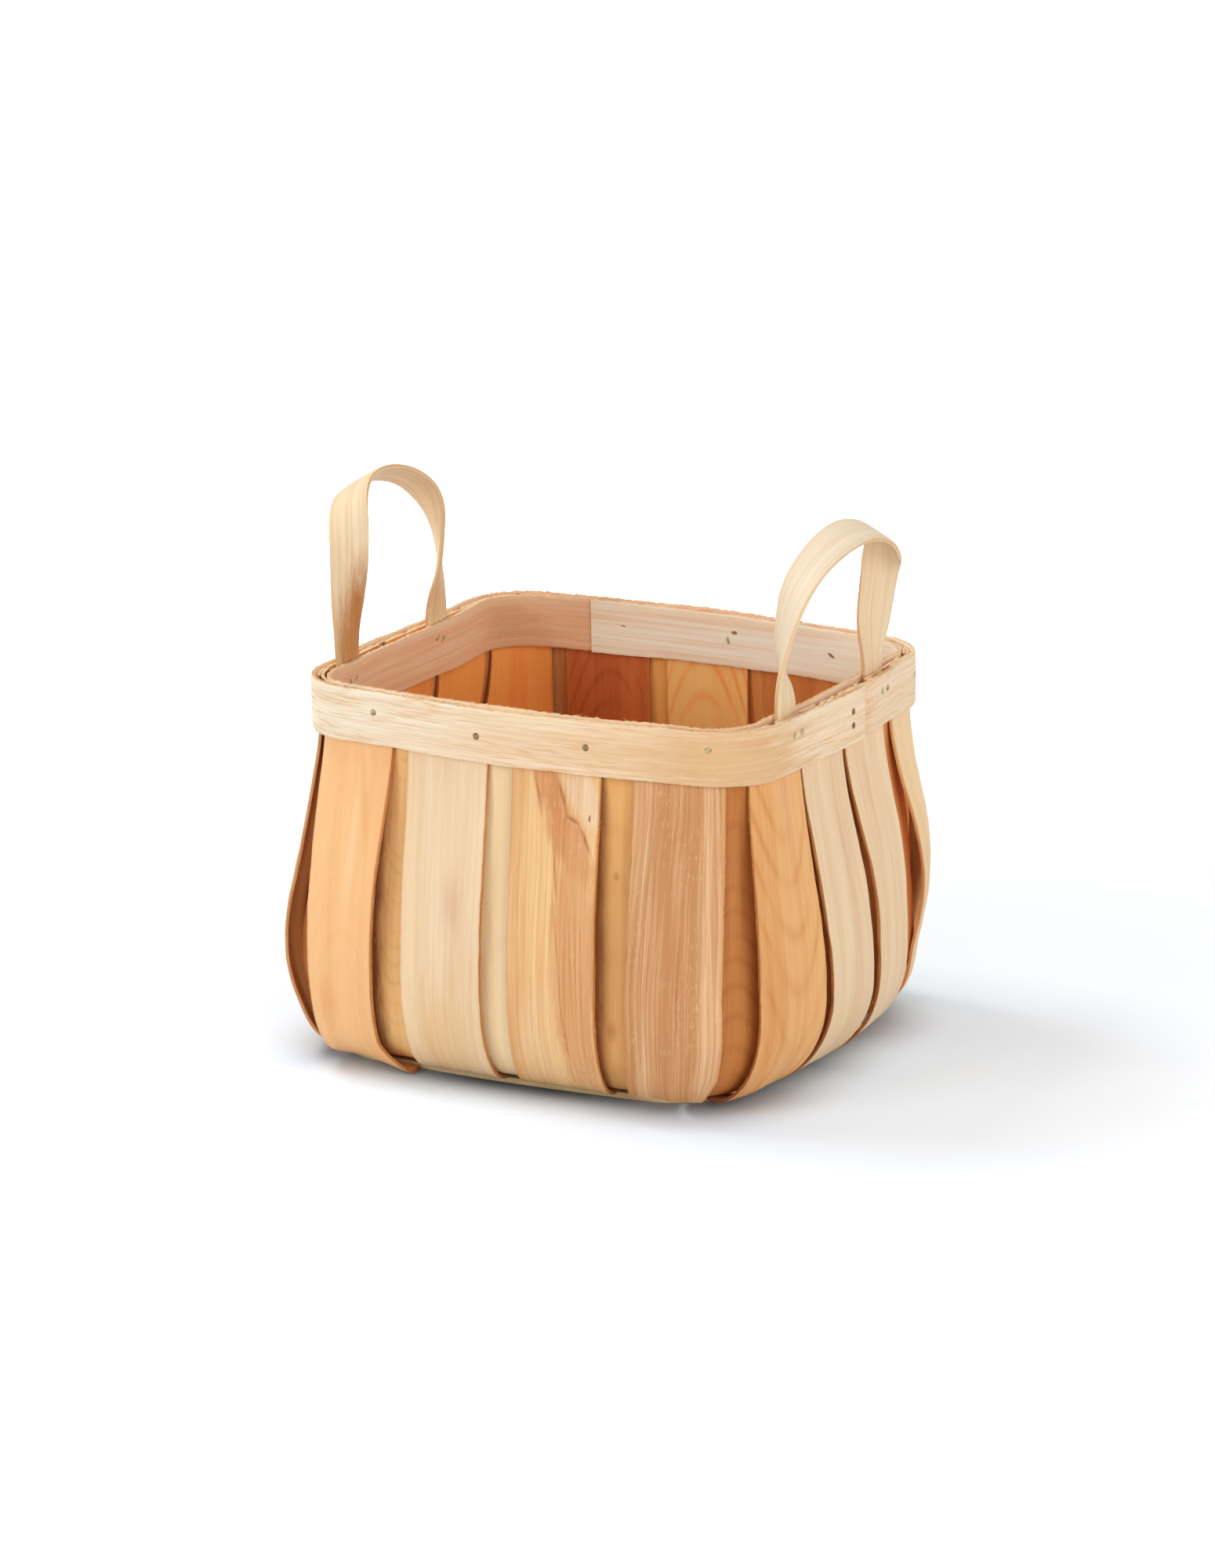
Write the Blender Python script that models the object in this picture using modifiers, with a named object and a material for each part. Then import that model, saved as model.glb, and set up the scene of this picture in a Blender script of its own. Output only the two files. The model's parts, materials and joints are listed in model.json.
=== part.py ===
"""A berry basket of thin split wood: upright staves in two layers, bent under at the foot,
clamped between two bands at the rim and two boards at the base, with two strap handles.

Metres, +Z up. X runs along the long sides, -Y is the front. The origin is at the middle of
the basket's box, on the surface that it stands on.
"""
import math

import bmesh
import bpy
from mathutils import Matrix, Vector

# Rim
RIM_LENGTH = 0.250          # over the outer band
RIM_WIDTH = 0.2154
RIM_CORNER = 0.036
RIM_BOW_LONG = 0.0062       # how far the long sides bulge beyond a straight line
RIM_BOW_SHORT = 0.0036
RIM_TOP = 0.190
RIM_DROP = 0.0048           # the right end of the rim below the left end
BAND_HEIGHT = 0.026
OUTER_BAND = 0.0028
INNER_BAND = 0.0026
LAP_LENGTH = 0.030          # how far a band's ends overlap
LAP_LEAD = 0.008            # the over end starts to lift this far before the under end
SKIVED_END = 0.0009         # thickness left on a band's skived end
LAP_STEP = 0.0009           # how far the over end stands proud of the band

# Wall
VENEER = 0.0016
GAP = 0.0003                # between pieces that touch on the real basket
STAVE_DROP = 0.0008         # stave tops below the top of the bands
BELLY_SWELL = 0.0152        # the belly beyond the staves at the rim
BELLY_HEIGHT = 0.052
BELLY_BOW_LONG = 0.003
BELLY_BOW_SHORT = 0.010
RIM_LEAN = 0.0064           # the rim's middle beyond the belly's, along X
BASE_LEAN = 0.0070          # the base's middle short of the belly's, along X
STAVE_WIDTH = 0.045
STAVE_COUNT = 16
EDGE_GAP = 0.001            # least room between the edges of two neighbours
INNER_STAVE_WIDTH = 0.046
INNER_EDGE_GAP = 0.006

# Base
BASE_BOARD = 0.003
FLOOR_BOARD = 0.003
BASE_INSET = 0.0165         # the bend of the staves inside the rim's outer face
BASE_BOW = 0.003
BASE_ROUNDING = 0.018       # the board's corners are this much rounder than the bend
BASE_LIP = 0.001            # the base board beyond the bend
FLOOR_INSET = 0.002         # the floor board inside the bend

# Handles
HANDLE_WIDTH = 0.019
HANDLE_THICKNESS = 0.0028
LEFT_SPREAD = 0.091         # between the legs' middles
RIGHT_SPREAD = 0.0955
LEFT_RISE = 0.0865          # crests above the rim
RIGHT_RISE = 0.080
LEG_RISE = 0.040            # the arch starts here, above the rim
LEFT_LEAN = 0.0012          # how far the crests lean to the right
RIGHT_LEAN = 0.0065
LEG_CLEARANCE = 0.0005
LEG_LIFT = 0.002            # leg ends above the bottom of the bands
LEFT_OFFSET = -0.0140       # the handles' middles along Y
RIGHT_OFFSET = -0.0078

# Nails
NAIL_HEAD = 0.0017          # radii
NAIL_SHANK = 0.0007
NAIL_HEAD_DEPTH = 0.0008
NAIL_POINT = 0.0012
NAIL_PAIR = 0.0074          # between the two nails of a leg
NAIL_PAIR_OFFSET = 0.003    # the pair's middle beside the leg's, towards the front
LAP_NAIL_INSET = 0.013      # the lap's nails from its edge
TACK_INSET = 0.006          # tacks inside the bend of the staves
OVERRUN = 0.001             # cutters reach this far beyond what they cut
SLIVER = 0.0006             # least width of a facet beside a stave's edge

# Shares and counts
FIRST_STAVE_SHARE = -1.62   # the first stave from the middle of the front, in pitches
SWELL_POWER = 1.5
TUCK_POWER = 2.2
WALL_STEPS = 5
TUCK_STEPS = 5
LONG_FACETS = 5
SHORT_FACETS = 5
CORNER_FACETS = 6
FOOT_END_SHARE = 0.4
LEFT_TWIST_POWER = 1.7      # how soon a strap turns flat on its way up
RIGHT_TWIST_POWER = 2.2
LEFT_CREST_SHARE = 0.51     # the crests' place between the legs
RIGHT_CREST_SHARE = 0.60
LEG_TURN_SHARE = 0.42       # the legs' part of the way from the rim to the crest
LEG_DRAW_SHARE = 0.03       # how far the legs lean together at the arch, in spreads
NAIL_BITE_SHARE = 0.65
TACK_BITE_SHARE = 0.6
LEG_STEPS = 7
ARCH_STEPS = 12
NAIL_SIDES = 8
# The scarfs' under ends, in shares of the way round from the middle of the front
OUTER_LAP_SHARE = 0.2262
INNER_LAP_SHARE = 0.542
# Each outer stave's middle at rim, belly and foot beside its regular place, in pitches,
# then its width at rim and belly in stave widths. The list starts at the front's left end.
OUTER_STAVE_SHARES = (
    (0.00, 0.11, 0.13, 1.02, 0.78),
    (0.00, 0.12, 0.23, 1.00, 1.00),
    (0.08, 0.22, 0.28, 1.02, 1.05),
    (0.23, 0.30, 0.28, 1.04, 0.90),
    (0.29, 0.31, 0.16, 0.97, 0.95),
    (0.08, 0.14, -0.05, 0.92, 0.86),
    (-0.06, 0.00, -0.16, 1.11, 0.96),
    (0.02, 0.40, 0.28, 0.98, 0.95),
    (0.14, 0.12, 0.02, 1.00, 1.02),
    (0.16, 0.10, 0.06, 1.02, 0.96),
    (0.19, 0.16, 0.20, 0.98, 1.00),
    (0.24, 0.20, 0.12, 1.00, 0.98),
    (0.10, 0.14, 0.08, 0.96, 1.02),
    (0.02, -0.04, 0.04, 1.00, 0.96),
    (-0.06, -0.02, -0.08, 1.02, 1.00),
    (-0.10, -0.04, 0.02, 0.98, 0.94),
)
# Single nails: the way round in shares of it, and the height in shares of the band
SINGLE_NAIL_SHARES = (
    (-0.0852, 0.62),
    (-0.0178, 0.48),
    (0.0483, 0.52),
    (0.1180, 0.69),
    (0.3429, 0.58),
    (0.4200, 0.55),
    (0.4880, 0.47),
    (0.5560, 0.55),
)
LAP_NAIL_SHARES = (0.63, 0.36)
LEG_NAIL_SHARE = 0.69
TACK_SHARES = (0.02, 0.27, 0.49, 0.76)

# Colours of the wood, linear
CREAM = (0.84, 0.66, 0.44)
STRAW = (0.76, 0.55, 0.32)
HONEY = (0.74, 0.42, 0.17)
TAN = (0.60, 0.39, 0.21)
OCHRE = (0.66, 0.38, 0.13)
RUSSET = (0.46, 0.20, 0.07)
OUTER_WOODS = (HONEY, CREAM, HONEY, TAN, HONEY, CREAM, CREAM, STRAW,
               HONEY, TAN, STRAW, CREAM, HONEY, STRAW, TAN, HONEY)
INNER_WOODS = (HONEY, CREAM, OCHRE, HONEY, RUSSET, HONEY, RUSSET, OCHRE,
               OCHRE, STRAW, RUSSET, HONEY, RUSSET, HONEY, OCHRE, RUSSET)
NAIL_METAL = (0.45, 0.40, 0.30)

# Worked out from the sizes above
CORE_X = 0.5 * RIM_LENGTH - RIM_CORNER
CORE_Y = 0.5 * RIM_WIDTH - RIM_CORNER
QUARTER = 0.5 * math.pi
BAND_BOTTOM = RIM_TOP - BAND_HEIGHT
PERIMETER = 4 * CORE_X + 4 * CORE_Y + 4 * QUARTER * RIM_CORNER
PITCH = PERIMETER / STAVE_COUNT
LAYER = VENEER + GAP
BAND_SEAT = RIM_CORNER - OUTER_BAND
STAVE_RADIUS = BAND_SEAT - GAP - 0.5 * VENEER
INNER_SEAT = STAVE_RADIUS - LAYER - 0.5 * VENEER - GAP
BEND_RADIUS = RIM_CORNER - BASE_INSET
FOOT_HEIGHT = BASE_BOARD + GAP + 0.5 * VENEER
FLOOR_BOTTOM = FOOT_HEIGHT + LAYER + 0.5 * VENEER + GAP


def clear_scene():
    """Remove what the opening scene holds."""
    for old in list(bpy.data.objects):
        bpy.data.objects.remove(old, do_unlink=True)


def new_collection(name):
    """Add a collection to the scene."""
    made = bpy.data.collections.new(name)
    bpy.context.scene.collection.children.link(made)
    return made


def finish(mesh_object, colour, metallic=0.0, roughness=0.6):
    """Give a piece its own material and smooth shading with crisp edges."""
    made = bpy.data.materials.new(mesh_object.name)
    made.use_nodes = True
    shader = made.node_tree.nodes["Principled BSDF"]
    shader.inputs["Base Color"].default_value = (*colour, 1.0)
    shader.inputs["Roughness"].default_value = roughness
    shader.inputs["Metallic"].default_value = metallic
    mesh_object.data.materials.append(made)
    mesh_object.data.shade_smooth()
    mesh_object.data.set_sharp_from_angle(angle=math.radians(25))
    return mesh_object


def blend(start, end, share):
    """A value part of the way from one to another."""
    return start + (end - start) * share


def ease(share):
    """Slow start and slow stop between 0 and 1."""
    share = min(max(share, 0.0), 1.0)
    return share * share * (3 - 2 * share)


def outline_stations():
    """Facet corners once round the rim: way round, core point, normal and the two bows.

    The outline is a rectangle of corner centres, the core, pushed out along its normals.
    """
    stations = []

    def straight(start, corner, along, out, facets, bow_index):
        length = along.length
        for step in range(facets):
            share = step / facets
            bows = [0.0, 0.0]
            bows[bow_index] = 1 - (2 * share - 1) ** 2
            stations.append((start + length * share, corner + along * share, out, bows))
        return start + length

    def turn(start, centre, angle):
        for step in range(CORNER_FACETS):
            heading = angle + QUARTER * step / CORNER_FACETS
            out = Vector((math.cos(heading), math.sin(heading)))
            stations.append((start + RIM_CORNER * (heading - angle), centre, out, [0.0, 0.0]))
        return start + RIM_CORNER * QUARTER

    corners = (Vector((CORE_X, -CORE_Y)), Vector((CORE_X, CORE_Y)),
               Vector((-CORE_X, CORE_Y)), Vector((-CORE_X, -CORE_Y)))
    place = -CORE_X
    for side, corner in enumerate(corners):
        before = corners[side - 1]
        heading = (side - 1) * QUARTER
        out = Vector((round(math.cos(heading)), round(math.sin(heading))))
        is_short = side % 2
        facets = SHORT_FACETS if is_short else LONG_FACETS
        place = straight(place, before, corner - before, out, facets, is_short)
        place = turn(place, corner, heading)
    return stations


STATIONS = outline_stations()


def breaks_between(low, high):
    """The facet corners that lie between two places on the way round."""
    found = []
    for turn in range(-1, 3):
        for station in STATIONS:
            place = station[0] + turn * PERIMETER
            if low < place < high:
                found.append(place)
    return found


def plan_point(place, radius, bow_long, bow_short):
    """The point of the faceted outline at a place on the way round."""
    start = STATIONS[0][0]
    wrapped = (place - start) % PERIMETER + start
    index = max(i for i, station in enumerate(STATIONS) if station[0] <= wrapped)
    here = STATIONS[index]
    following = STATIONS[(index + 1) % len(STATIONS)]
    end = following[0] if index + 1 < len(STATIONS) else following[0] + PERIMETER
    share = (wrapped - here[0]) / (end - here[0])
    ends = []
    for _, core, out, bows in (here, following):
        ends.append(core + out * (radius + bow_long * bows[0] + bow_short * bows[1]))
    return ends[0].lerp(ends[1], share)


def settled(point):
    """The point on the basket, whose rim slopes down to the right."""
    slope = RIM_DROP / RIM_LENGTH
    return Vector((point.x, point.y, point.z * (1 - slope * point.x / RIM_TOP)))


def rim_point(place, radius, height):
    """A point of the rim, where the outline leans to the right."""
    flat = plan_point(place, radius, RIM_BOW_LONG, RIM_BOW_SHORT)
    return settled(Vector((flat.x + RIM_LEAN, flat.y, height)))


def wall_rows():
    """The outer staves' middle surface from rim to foot: radius, height, swell and tuck.

    Swell goes from 0 at the rim to 1 at the belly, and tuck from 0 there to 1 at the bend.
    """
    rows = [(STAVE_RADIUS, RIM_TOP - STAVE_DROP, 0.0, 0.0), (STAVE_RADIUS, BAND_BOTTOM, 0.0, 0.0)]
    for step in range(1, WALL_STEPS + 1):
        share = step / WALL_STEPS
        swell = math.sin(QUARTER * share) ** SWELL_POWER
        height = blend(BAND_BOTTOM, BELLY_HEIGHT, share)
        rows.append((STAVE_RADIUS + BELLY_SWELL * swell, height, swell, 0.0))
    belly_radius = STAVE_RADIUS + BELLY_SWELL
    for step in range(1, TUCK_STEPS + 1):
        angle = QUARTER * step / TUCK_STEPS
        drop = math.sin(angle) ** (2 / TUCK_POWER)
        tuck = 1 - max(math.cos(angle), 0.0) ** (2 / TUCK_POWER)
        height = blend(BELLY_HEIGHT, FOOT_HEIGHT, drop)
        rows.append((blend(belly_radius, BEND_RADIUS, tuck), height, 1.0, tuck))
    rows.append((BEND_RADIUS * FOOT_END_SHARE, FOOT_HEIGHT, 1.0, 1.0))
    return rows


def inward(rows, distance):
    """The same rows moved parallel into the basket."""
    points = [Vector((row[0], row[1])) for row in rows]
    normals = []
    for first, second in zip(points, points[1:]):
        along = (second - first).normalized()
        normals.append(Vector((along.y, -along.x)))
    moved = []
    for index, row in enumerate(rows):
        before = normals[max(index - 1, 0)]
        after = normals[min(index, len(normals) - 1)]
        shift = (before + after) * (distance / (1 + before.dot(after)))
        place = points[index] + shift
        moved.append((place.x, place.y, row[2], row[3]))
    return moved


def wall_point(place, row):
    """A point of the wall in a row, with the row's bows and lean."""
    radius, height, swell, tuck = row
    bow_long = blend(blend(RIM_BOW_LONG, BELLY_BOW_LONG, swell), BASE_BOW, tuck)
    bow_short = blend(blend(RIM_BOW_SHORT, BELLY_BOW_SHORT, swell), BASE_BOW, tuck)
    lean = blend(RIM_LEAN, 0.0, swell) - BASE_LEAN * tuck
    flat = plan_point(place, radius, bow_long, bow_short)
    return settled(Vector((flat.x + lean, flat.y, height)))


def sheet(name, collection, grid, thickness):
    """An open surface through rows of points, thickened evenly to both sides."""
    shape = bmesh.new()
    rows = [[shape.verts.new(point) for point in row] for row in grid]
    for upper, lower in zip(rows, rows[1:]):
        for column in range(len(upper) - 1):
            shape.faces.new((upper[column], lower[column], lower[column + 1], upper[column + 1]))
    mesh = bpy.data.meshes.new(name)
    shape.to_mesh(mesh)
    shape.free()
    made = bpy.data.objects.new(name, mesh)
    collection.objects.link(made)
    solidify = made.modifiers.new("thickness", "SOLIDIFY")
    solidify.thickness = thickness
    solidify.offset = 0.0
    solidify.use_even_offset = True
    return made


def loft(name, collection, rings):
    """A closed solid through rings of points, capped at both ends."""
    shape = bmesh.new()
    rows = [[shape.verts.new(point) for point in ring] for ring in rings]
    sides = len(rows[0])
    for first, second in zip(rows, rows[1:]):
        for side in range(sides):
            after = (side + 1) % sides
            shape.faces.new((first[side], second[side], second[after], first[after]))
    shape.faces.new(rows[0])
    shape.faces.new(rows[-1])
    bmesh.ops.recalc_face_normals(shape, faces=shape.faces)
    mesh = bpy.data.meshes.new(name)
    shape.to_mesh(mesh)
    shape.free()
    made = bpy.data.objects.new(name, mesh)
    collection.objects.link(made)
    return made


def pierce(piece, holes):
    """Cut the nail holes that meet a piece."""
    cut = piece.modifiers.new("nail holes", "BOOLEAN")
    cut.operation = "DIFFERENCE"
    cut.solver = "EXACT"
    cut.operand_type = "COLLECTION"
    cut.collection = holes


def outer_middle(index, level):
    """The middle of an outer stave on the way round; level is 0 rim, 1 belly, 2 foot."""
    turns, number = divmod(index, STAVE_COUNT)
    regular = FIRST_STAVE_SHARE + index
    shares = OUTER_STAVE_SHARES[number % len(OUTER_STAVE_SHARES)]
    return (regular + shares[level]) * PITCH


def outer_edges(index, level):
    """An outer stave's edges, which leave room for both neighbours."""
    middle = outer_middle(index, level)
    shares = OUTER_STAVE_SHARES[index % len(OUTER_STAVE_SHARES)]
    half = 0.5 * STAVE_WIDTH * shares[3 if level == 0 else 4]
    left_room = 0.5 * (middle - outer_middle(index - 1, level) - EDGE_GAP)
    right_room = 0.5 * (outer_middle(index + 1, level) - middle - EDGE_GAP)
    return middle - min(half, left_room), middle + min(half, right_room)


def inner_edges(index, level):
    """The edges of the inner stave that backs the gap after an outer stave."""
    middle = 0.5 * (outer_edges(index, level)[1] + outer_edges(index + 1, level)[0])
    half = 0.5 * INNER_STAVE_WIDTH
    lowest = outer_middle(index, level) + 0.5 * INNER_EDGE_GAP
    highest = outer_middle(index + 1, level) - 0.5 * INNER_EDGE_GAP
    return max(middle - half, lowest), min(middle + half, highest)


def squeezed(left, breaks, right):
    """Facet corners across a stave, kept in order between its edges."""
    places = [left]
    for index, place in enumerate(breaks):
        low = left + (index + 1) * SLIVER
        high = right - (len(breaks) - index) * SLIVER
        places.append(min(max(place, low), high))
    places.append(right)
    return places


def stave(name, collection, rows, edges):
    """One stave between its edges at rim, belly and foot."""
    sides = []
    for row in rows:
        swell, tuck = row[2], row[3]
        sides.append([blend(blend(edges[0][end], edges[1][end], swell), edges[2][end], tuck)
                      for end in (0, 1)])
    lowest = min(side[0] for side in sides)
    highest = max(side[1] for side in sides)
    breaks = breaks_between(lowest, highest)
    grid = []
    for row, side in zip(rows, sides):
        places = squeezed(side[0], breaks, side[1])
        grid.append([wall_point(place, row) for place in places])
    return sheet(name, collection, grid, VENEER)


def make_staves(collection, holes):
    """The outer staves, and the inner ones that back the gaps between them."""
    outer_rows = wall_rows()
    inner_rows = inward(outer_rows, LAYER)
    for index in range(STAVE_COUNT):
        edges = [outer_edges(index, level) for level in range(3)]
        made = stave(f"outer_stave_{index + 1:02d}", collection, outer_rows, edges)
        pierce(made, holes)
        finish(made, OUTER_WOODS[index % len(OUTER_WOODS)])
        edges = [inner_edges(index, level) for level in range(3)]
        made = stave(f"inner_stave_{index + 1:02d}", collection, inner_rows, edges)
        pierce(made, holes)
        finish(made, INNER_WOODS[index % len(INNER_WOODS)])


def leg_places():
    """Each handle leg's middle on the way round: right front, right back, left back, left front."""
    right_middle = CORE_X + QUARTER * RIM_CORNER + CORE_Y + RIGHT_OFFSET
    left_middle = right_middle - RIGHT_OFFSET + 0.5 * PERIMETER - LEFT_OFFSET
    right = 0.5 * RIGHT_SPREAD
    left = 0.5 * LEFT_SPREAD
    return (right_middle - right, right_middle + right, left_middle - left, left_middle + left)


def leg_push(place):
    """How far the handle legs push the inner band into the basket at a place."""
    push = HANDLE_THICKNESS + LEG_CLEARANCE
    legs = leg_places()
    for first, second in ((legs[0], legs[1]), (legs[2], legs[3])):
        low = first - 0.5 * HANDLE_WIDTH - LEG_CLEARANCE
        high = second + 0.5 * HANDLE_WIDTH + LEG_CLEARANCE
        near = (place - low + 0.5 * PERIMETER) % PERIMETER - 0.5 * PERIMETER
        beyond = max(-near, near - (high - low), 0.0)
        if beyond < HANDLE_WIDTH:
            return push * (1 - beyond / HANDLE_WIDTH)
    return 0.0


def push_breaks():
    """Where the inner band's push starts, is full and ends."""
    found = []
    legs = leg_places()
    for first, second in ((legs[0], legs[1]), (legs[2], legs[3])):
        low = first - 0.5 * HANDLE_WIDTH - LEG_CLEARANCE
        high = second + 0.5 * HANDLE_WIDTH + LEG_CLEARANCE
        found += [low - HANDLE_WIDTH, low, high, high + HANDLE_WIDTH]
    return found


def band_heights(place, start, thickness):
    """A band's two faces above its seat: skived where it starts, lifted over that at its end."""
    ramp = 1.2 * LAP_LENGTH

    def under(along):
        return blend(SKIVED_END, thickness, min(along / ramp, 1.0))

    along = place - start
    over = along - PERIMETER
    if over < -LAP_LEAD:
        return 0.0, under(along)
    lifted = (over + LAP_LEAD) / (LAP_LENGTH + LAP_LEAD)
    top = thickness + LAP_STEP * lifted
    if over < 0.0:
        return (SKIVED_END + GAP) * (1 + over / LAP_LEAD), top
    return under(over) + GAP, top


def band(name, collection, start, seat, thickness, outward, pushed):
    """A band once round the rim with its ends scarfed one over the other."""
    end = start + PERIMETER + LAP_LENGTH
    places = breaks_between(start, end)
    places += [start, start + 1.2 * LAP_LENGTH, end - LAP_LENGTH - LAP_LEAD, end - LAP_LENGTH, end]
    if pushed:
        for place in push_breaks():
            for turn in range(-1, 3):
                if start < place + turn * PERIMETER < end:
                    places.append(place + turn * PERIMETER)
    places.sort()
    rings = []
    last = None
    for place in places:
        if last is not None and place - last < 0.5 * SLIVER:
            continue
        last = place
        low, high = band_heights(place, start, thickness)
        foot = seat - (leg_push(place) if pushed else 0.0)
        near = foot + outward * low
        far = foot + outward * high
        rings.append((rim_point(place, near, BAND_BOTTOM), rim_point(place, far, BAND_BOTTOM),
                      rim_point(place, far, RIM_TOP), rim_point(place, near, RIM_TOP)))
    return loft(name, collection, rings)


def make_bands(collection, holes):
    """The outer and the inner band."""
    outer_start = OUTER_LAP_SHARE * PERIMETER
    outer = band("outer_band", collection, outer_start, BAND_SEAT, OUTER_BAND, 1, False)
    inner_start = INNER_LAP_SHARE * PERIMETER
    inner = band("inner_band", collection, inner_start, INNER_SEAT, INNER_BAND, -1, True)
    for made in (outer, inner):
        pierce(made, holes)
    finish(outer, STRAW)
    finish(inner, STRAW)


def leg_seat(place, height):
    """The middle of a leg at a height, and the direction along the rim there."""
    radius = STAVE_RADIUS - LAYER - 0.5 * VENEER - GAP - 0.5 * HANDLE_THICKNESS
    first = rim_point(place - 0.5 * HANDLE_WIDTH, radius, height)
    second = rim_point(place + 0.5 * HANDLE_WIDTH, radius, height)
    along = Vector((second.x - first.x, second.y - first.y, 0))
    return 0.5 * (first + second), along.normalized()


def leg_line(place, other, rise, lean):
    """A leg's middle line from its end up to where the arch starts."""
    line = [(leg_seat(place, BAND_BOTTOM + LEG_LIFT)[0], 0.0)]
    start = leg_seat(place, RIM_TOP)[0]
    end = leg_seat(other, RIM_TOP)[0]
    for step in range(LEG_STEPS):
        share = step / LEG_STEPS
        middle = start.lerp(end, LEG_DRAW_SHARE * ease(share))
        middle.x += lean * ease(LEG_RISE * share / rise)
        middle.z += LEG_RISE * share
        line.append((middle, LEG_TURN_SHARE * share))
    return line


def handle_line(first, last, rise, crest, lean):
    """The strap's middle line from leg end to leg end, with each point's share of the way up."""
    line = leg_line(first, last, rise, lean)
    start = leg_seat(first, RIM_TOP)[0]
    end = leg_seat(last, RIM_TOP)[0]
    for step in range(ARCH_STEPS + 1):
        angle = 2 * QUARTER * step / ARCH_STEPS
        foot = LEG_DRAW_SHARE if angle < QUARTER else 1 - LEG_DRAW_SHARE
        middle = start.lerp(end, blend(crest, foot, abs(math.cos(angle))))
        height = LEG_RISE + (rise - LEG_RISE) * math.sin(angle)
        middle.x += lean * ease(height / rise)
        middle.z += height
        up = min(step, ARCH_STEPS - step) / (0.5 * ARCH_STEPS)
        line.append((middle, blend(LEG_TURN_SHARE, 1.0, up)))
    return line + leg_line(last, first, rise, lean)[::-1]


def handle_rows(first, last, outward, line, power):
    """The strap's two edges all along it: along the rim at the legs, flat on top at the crest."""
    first_along = leg_seat(first, RIM_TOP)[1]
    last_along = leg_seat(last, RIM_TOP)[1]
    rows = []
    for index, (middle, up) in enumerate(line):
        before = line[max(index - 1, 0)][0]
        after = line[min(index + 1, len(line) - 1)][0]
        heading = (after - before).normalized()
        out = Vector((outward, 0, 0))
        out = (out - heading * out.dot(heading)).normalized()
        turn = QUARTER * (1 - up) ** power
        along = first_along if index < len(line) / 2 else -last_along
        along = along.lerp(heading.cross(out), min(2 * up, 1.0)).normalized()
        side = (out * math.cos(turn) - along * math.sin(turn)) * (0.5 * HANDLE_WIDTH)
        rows.append([middle - side, middle + side])
    return rows


def make_handles(collection, holes):
    """The two strap handles, their legs between the inner staves and the inner band."""
    right_front, right_back, left_back, left_front = leg_places()
    line = handle_line(left_back, left_front, LEFT_RISE, 1 - LEFT_CREST_SHARE, LEFT_LEAN)
    rows = handle_rows(left_back, left_front, -1, line, LEFT_TWIST_POWER)
    made = [sheet("handle_left", collection, rows, HANDLE_THICKNESS)]
    line = handle_line(right_front, right_back, RIGHT_RISE, RIGHT_CREST_SHARE, RIGHT_LEAN)
    rows = handle_rows(right_front, right_back, 1, line, RIGHT_TWIST_POWER)
    made.append(sheet("handle_right", collection, rows, HANDLE_THICKNESS))
    for piece in made:
        pierce(piece, holes)
        finish(piece, CREAM)


def board(name, collection, bottom, thickness, radius, rounding):
    """A flat board with the base's outline, at its height."""
    shape = bmesh.new()
    corners = []
    for _, core, out, bows in STATIONS:
        stretch = Vector((1 - rounding / CORE_X, 1 - rounding / CORE_Y))
        pulled = Vector((core.x * stretch.x, core.y * stretch.y))
        flat = pulled + out * (radius + rounding + BASE_BOW * (bows[0] + bows[1]))
        corners.append(shape.verts.new((flat.x - BASE_LEAN, flat.y, bottom)))
    shape.faces.new(corners)
    mesh = bpy.data.meshes.new(name)
    shape.to_mesh(mesh)
    shape.free()
    made = bpy.data.objects.new(name, mesh)
    collection.objects.link(made)
    solidify = made.modifiers.new("thickness", "SOLIDIFY")
    solidify.thickness = thickness
    solidify.offset = 1.0
    return made


def make_boards(collection, holes):
    """The base board under the feet and the floor board on top of them."""
    base = board("base_board", collection, 0.0, BASE_BOARD, BEND_RADIUS + BASE_LIP, BASE_ROUNDING)
    floor = board("floor_board", collection, FLOOR_BOTTOM, FLOOR_BOARD,
                  BEND_RADIUS - FLOOR_INSET, BASE_ROUNDING)
    for made in (base, floor):
        pierce(made, holes)
    finish(base, CREAM)
    finish(floor, STRAW)


def turned_nail(name, collection, length, extra=0.0, overrun=0.0):
    """A nail with a sunk conical head, its head at the origin and its point down."""
    profile = [(0.0, overrun), (NAIL_HEAD + extra, overrun)]
    if overrun:
        profile.append((NAIL_HEAD + extra, 0.0))
    profile += [(NAIL_SHANK + extra, -NAIL_HEAD_DEPTH - extra),
                (NAIL_SHANK + extra, NAIL_POINT - length),
                (0.0, -length - extra)]
    mesh = bpy.data.meshes.new(name)
    points = [(radius, 0.0, height) for radius, height in profile]
    mesh.from_pydata(points, [(i, i + 1) for i in range(len(points) - 1)], [])
    made = bpy.data.objects.new(name, mesh)
    collection.objects.link(made)
    screw = made.modifiers.new("turn", "SCREW")
    screw.steps = NAIL_SIDES
    screw.render_steps = NAIL_SIDES
    screw.use_merge_vertices = True
    screw.merge_threshold = 0.00001
    return made


def drive(piece, point, outward):
    """Put a nail's head at a point, with the head facing outward."""
    turn = outward.to_track_quat("Z", "Y").to_matrix().to_4x4()
    piece.matrix_world = Matrix.Translation(point) @ turn


def nail_with_hole(name, collection, holes, point, outward, length):
    """A nail, and the cutter that clears it from what it goes through."""
    nail = turned_nail(name, collection, length)
    drive(nail, point, outward)
    finish(nail, NAIL_METAL, metallic=1.0, roughness=0.45)
    cutter = turned_nail(f"{name}_hole", holes, length, GAP, OVERRUN)
    drive(cutter, point, outward)
    cutter.hide_render = True
    cutter.display_type = "WIRE"


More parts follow.
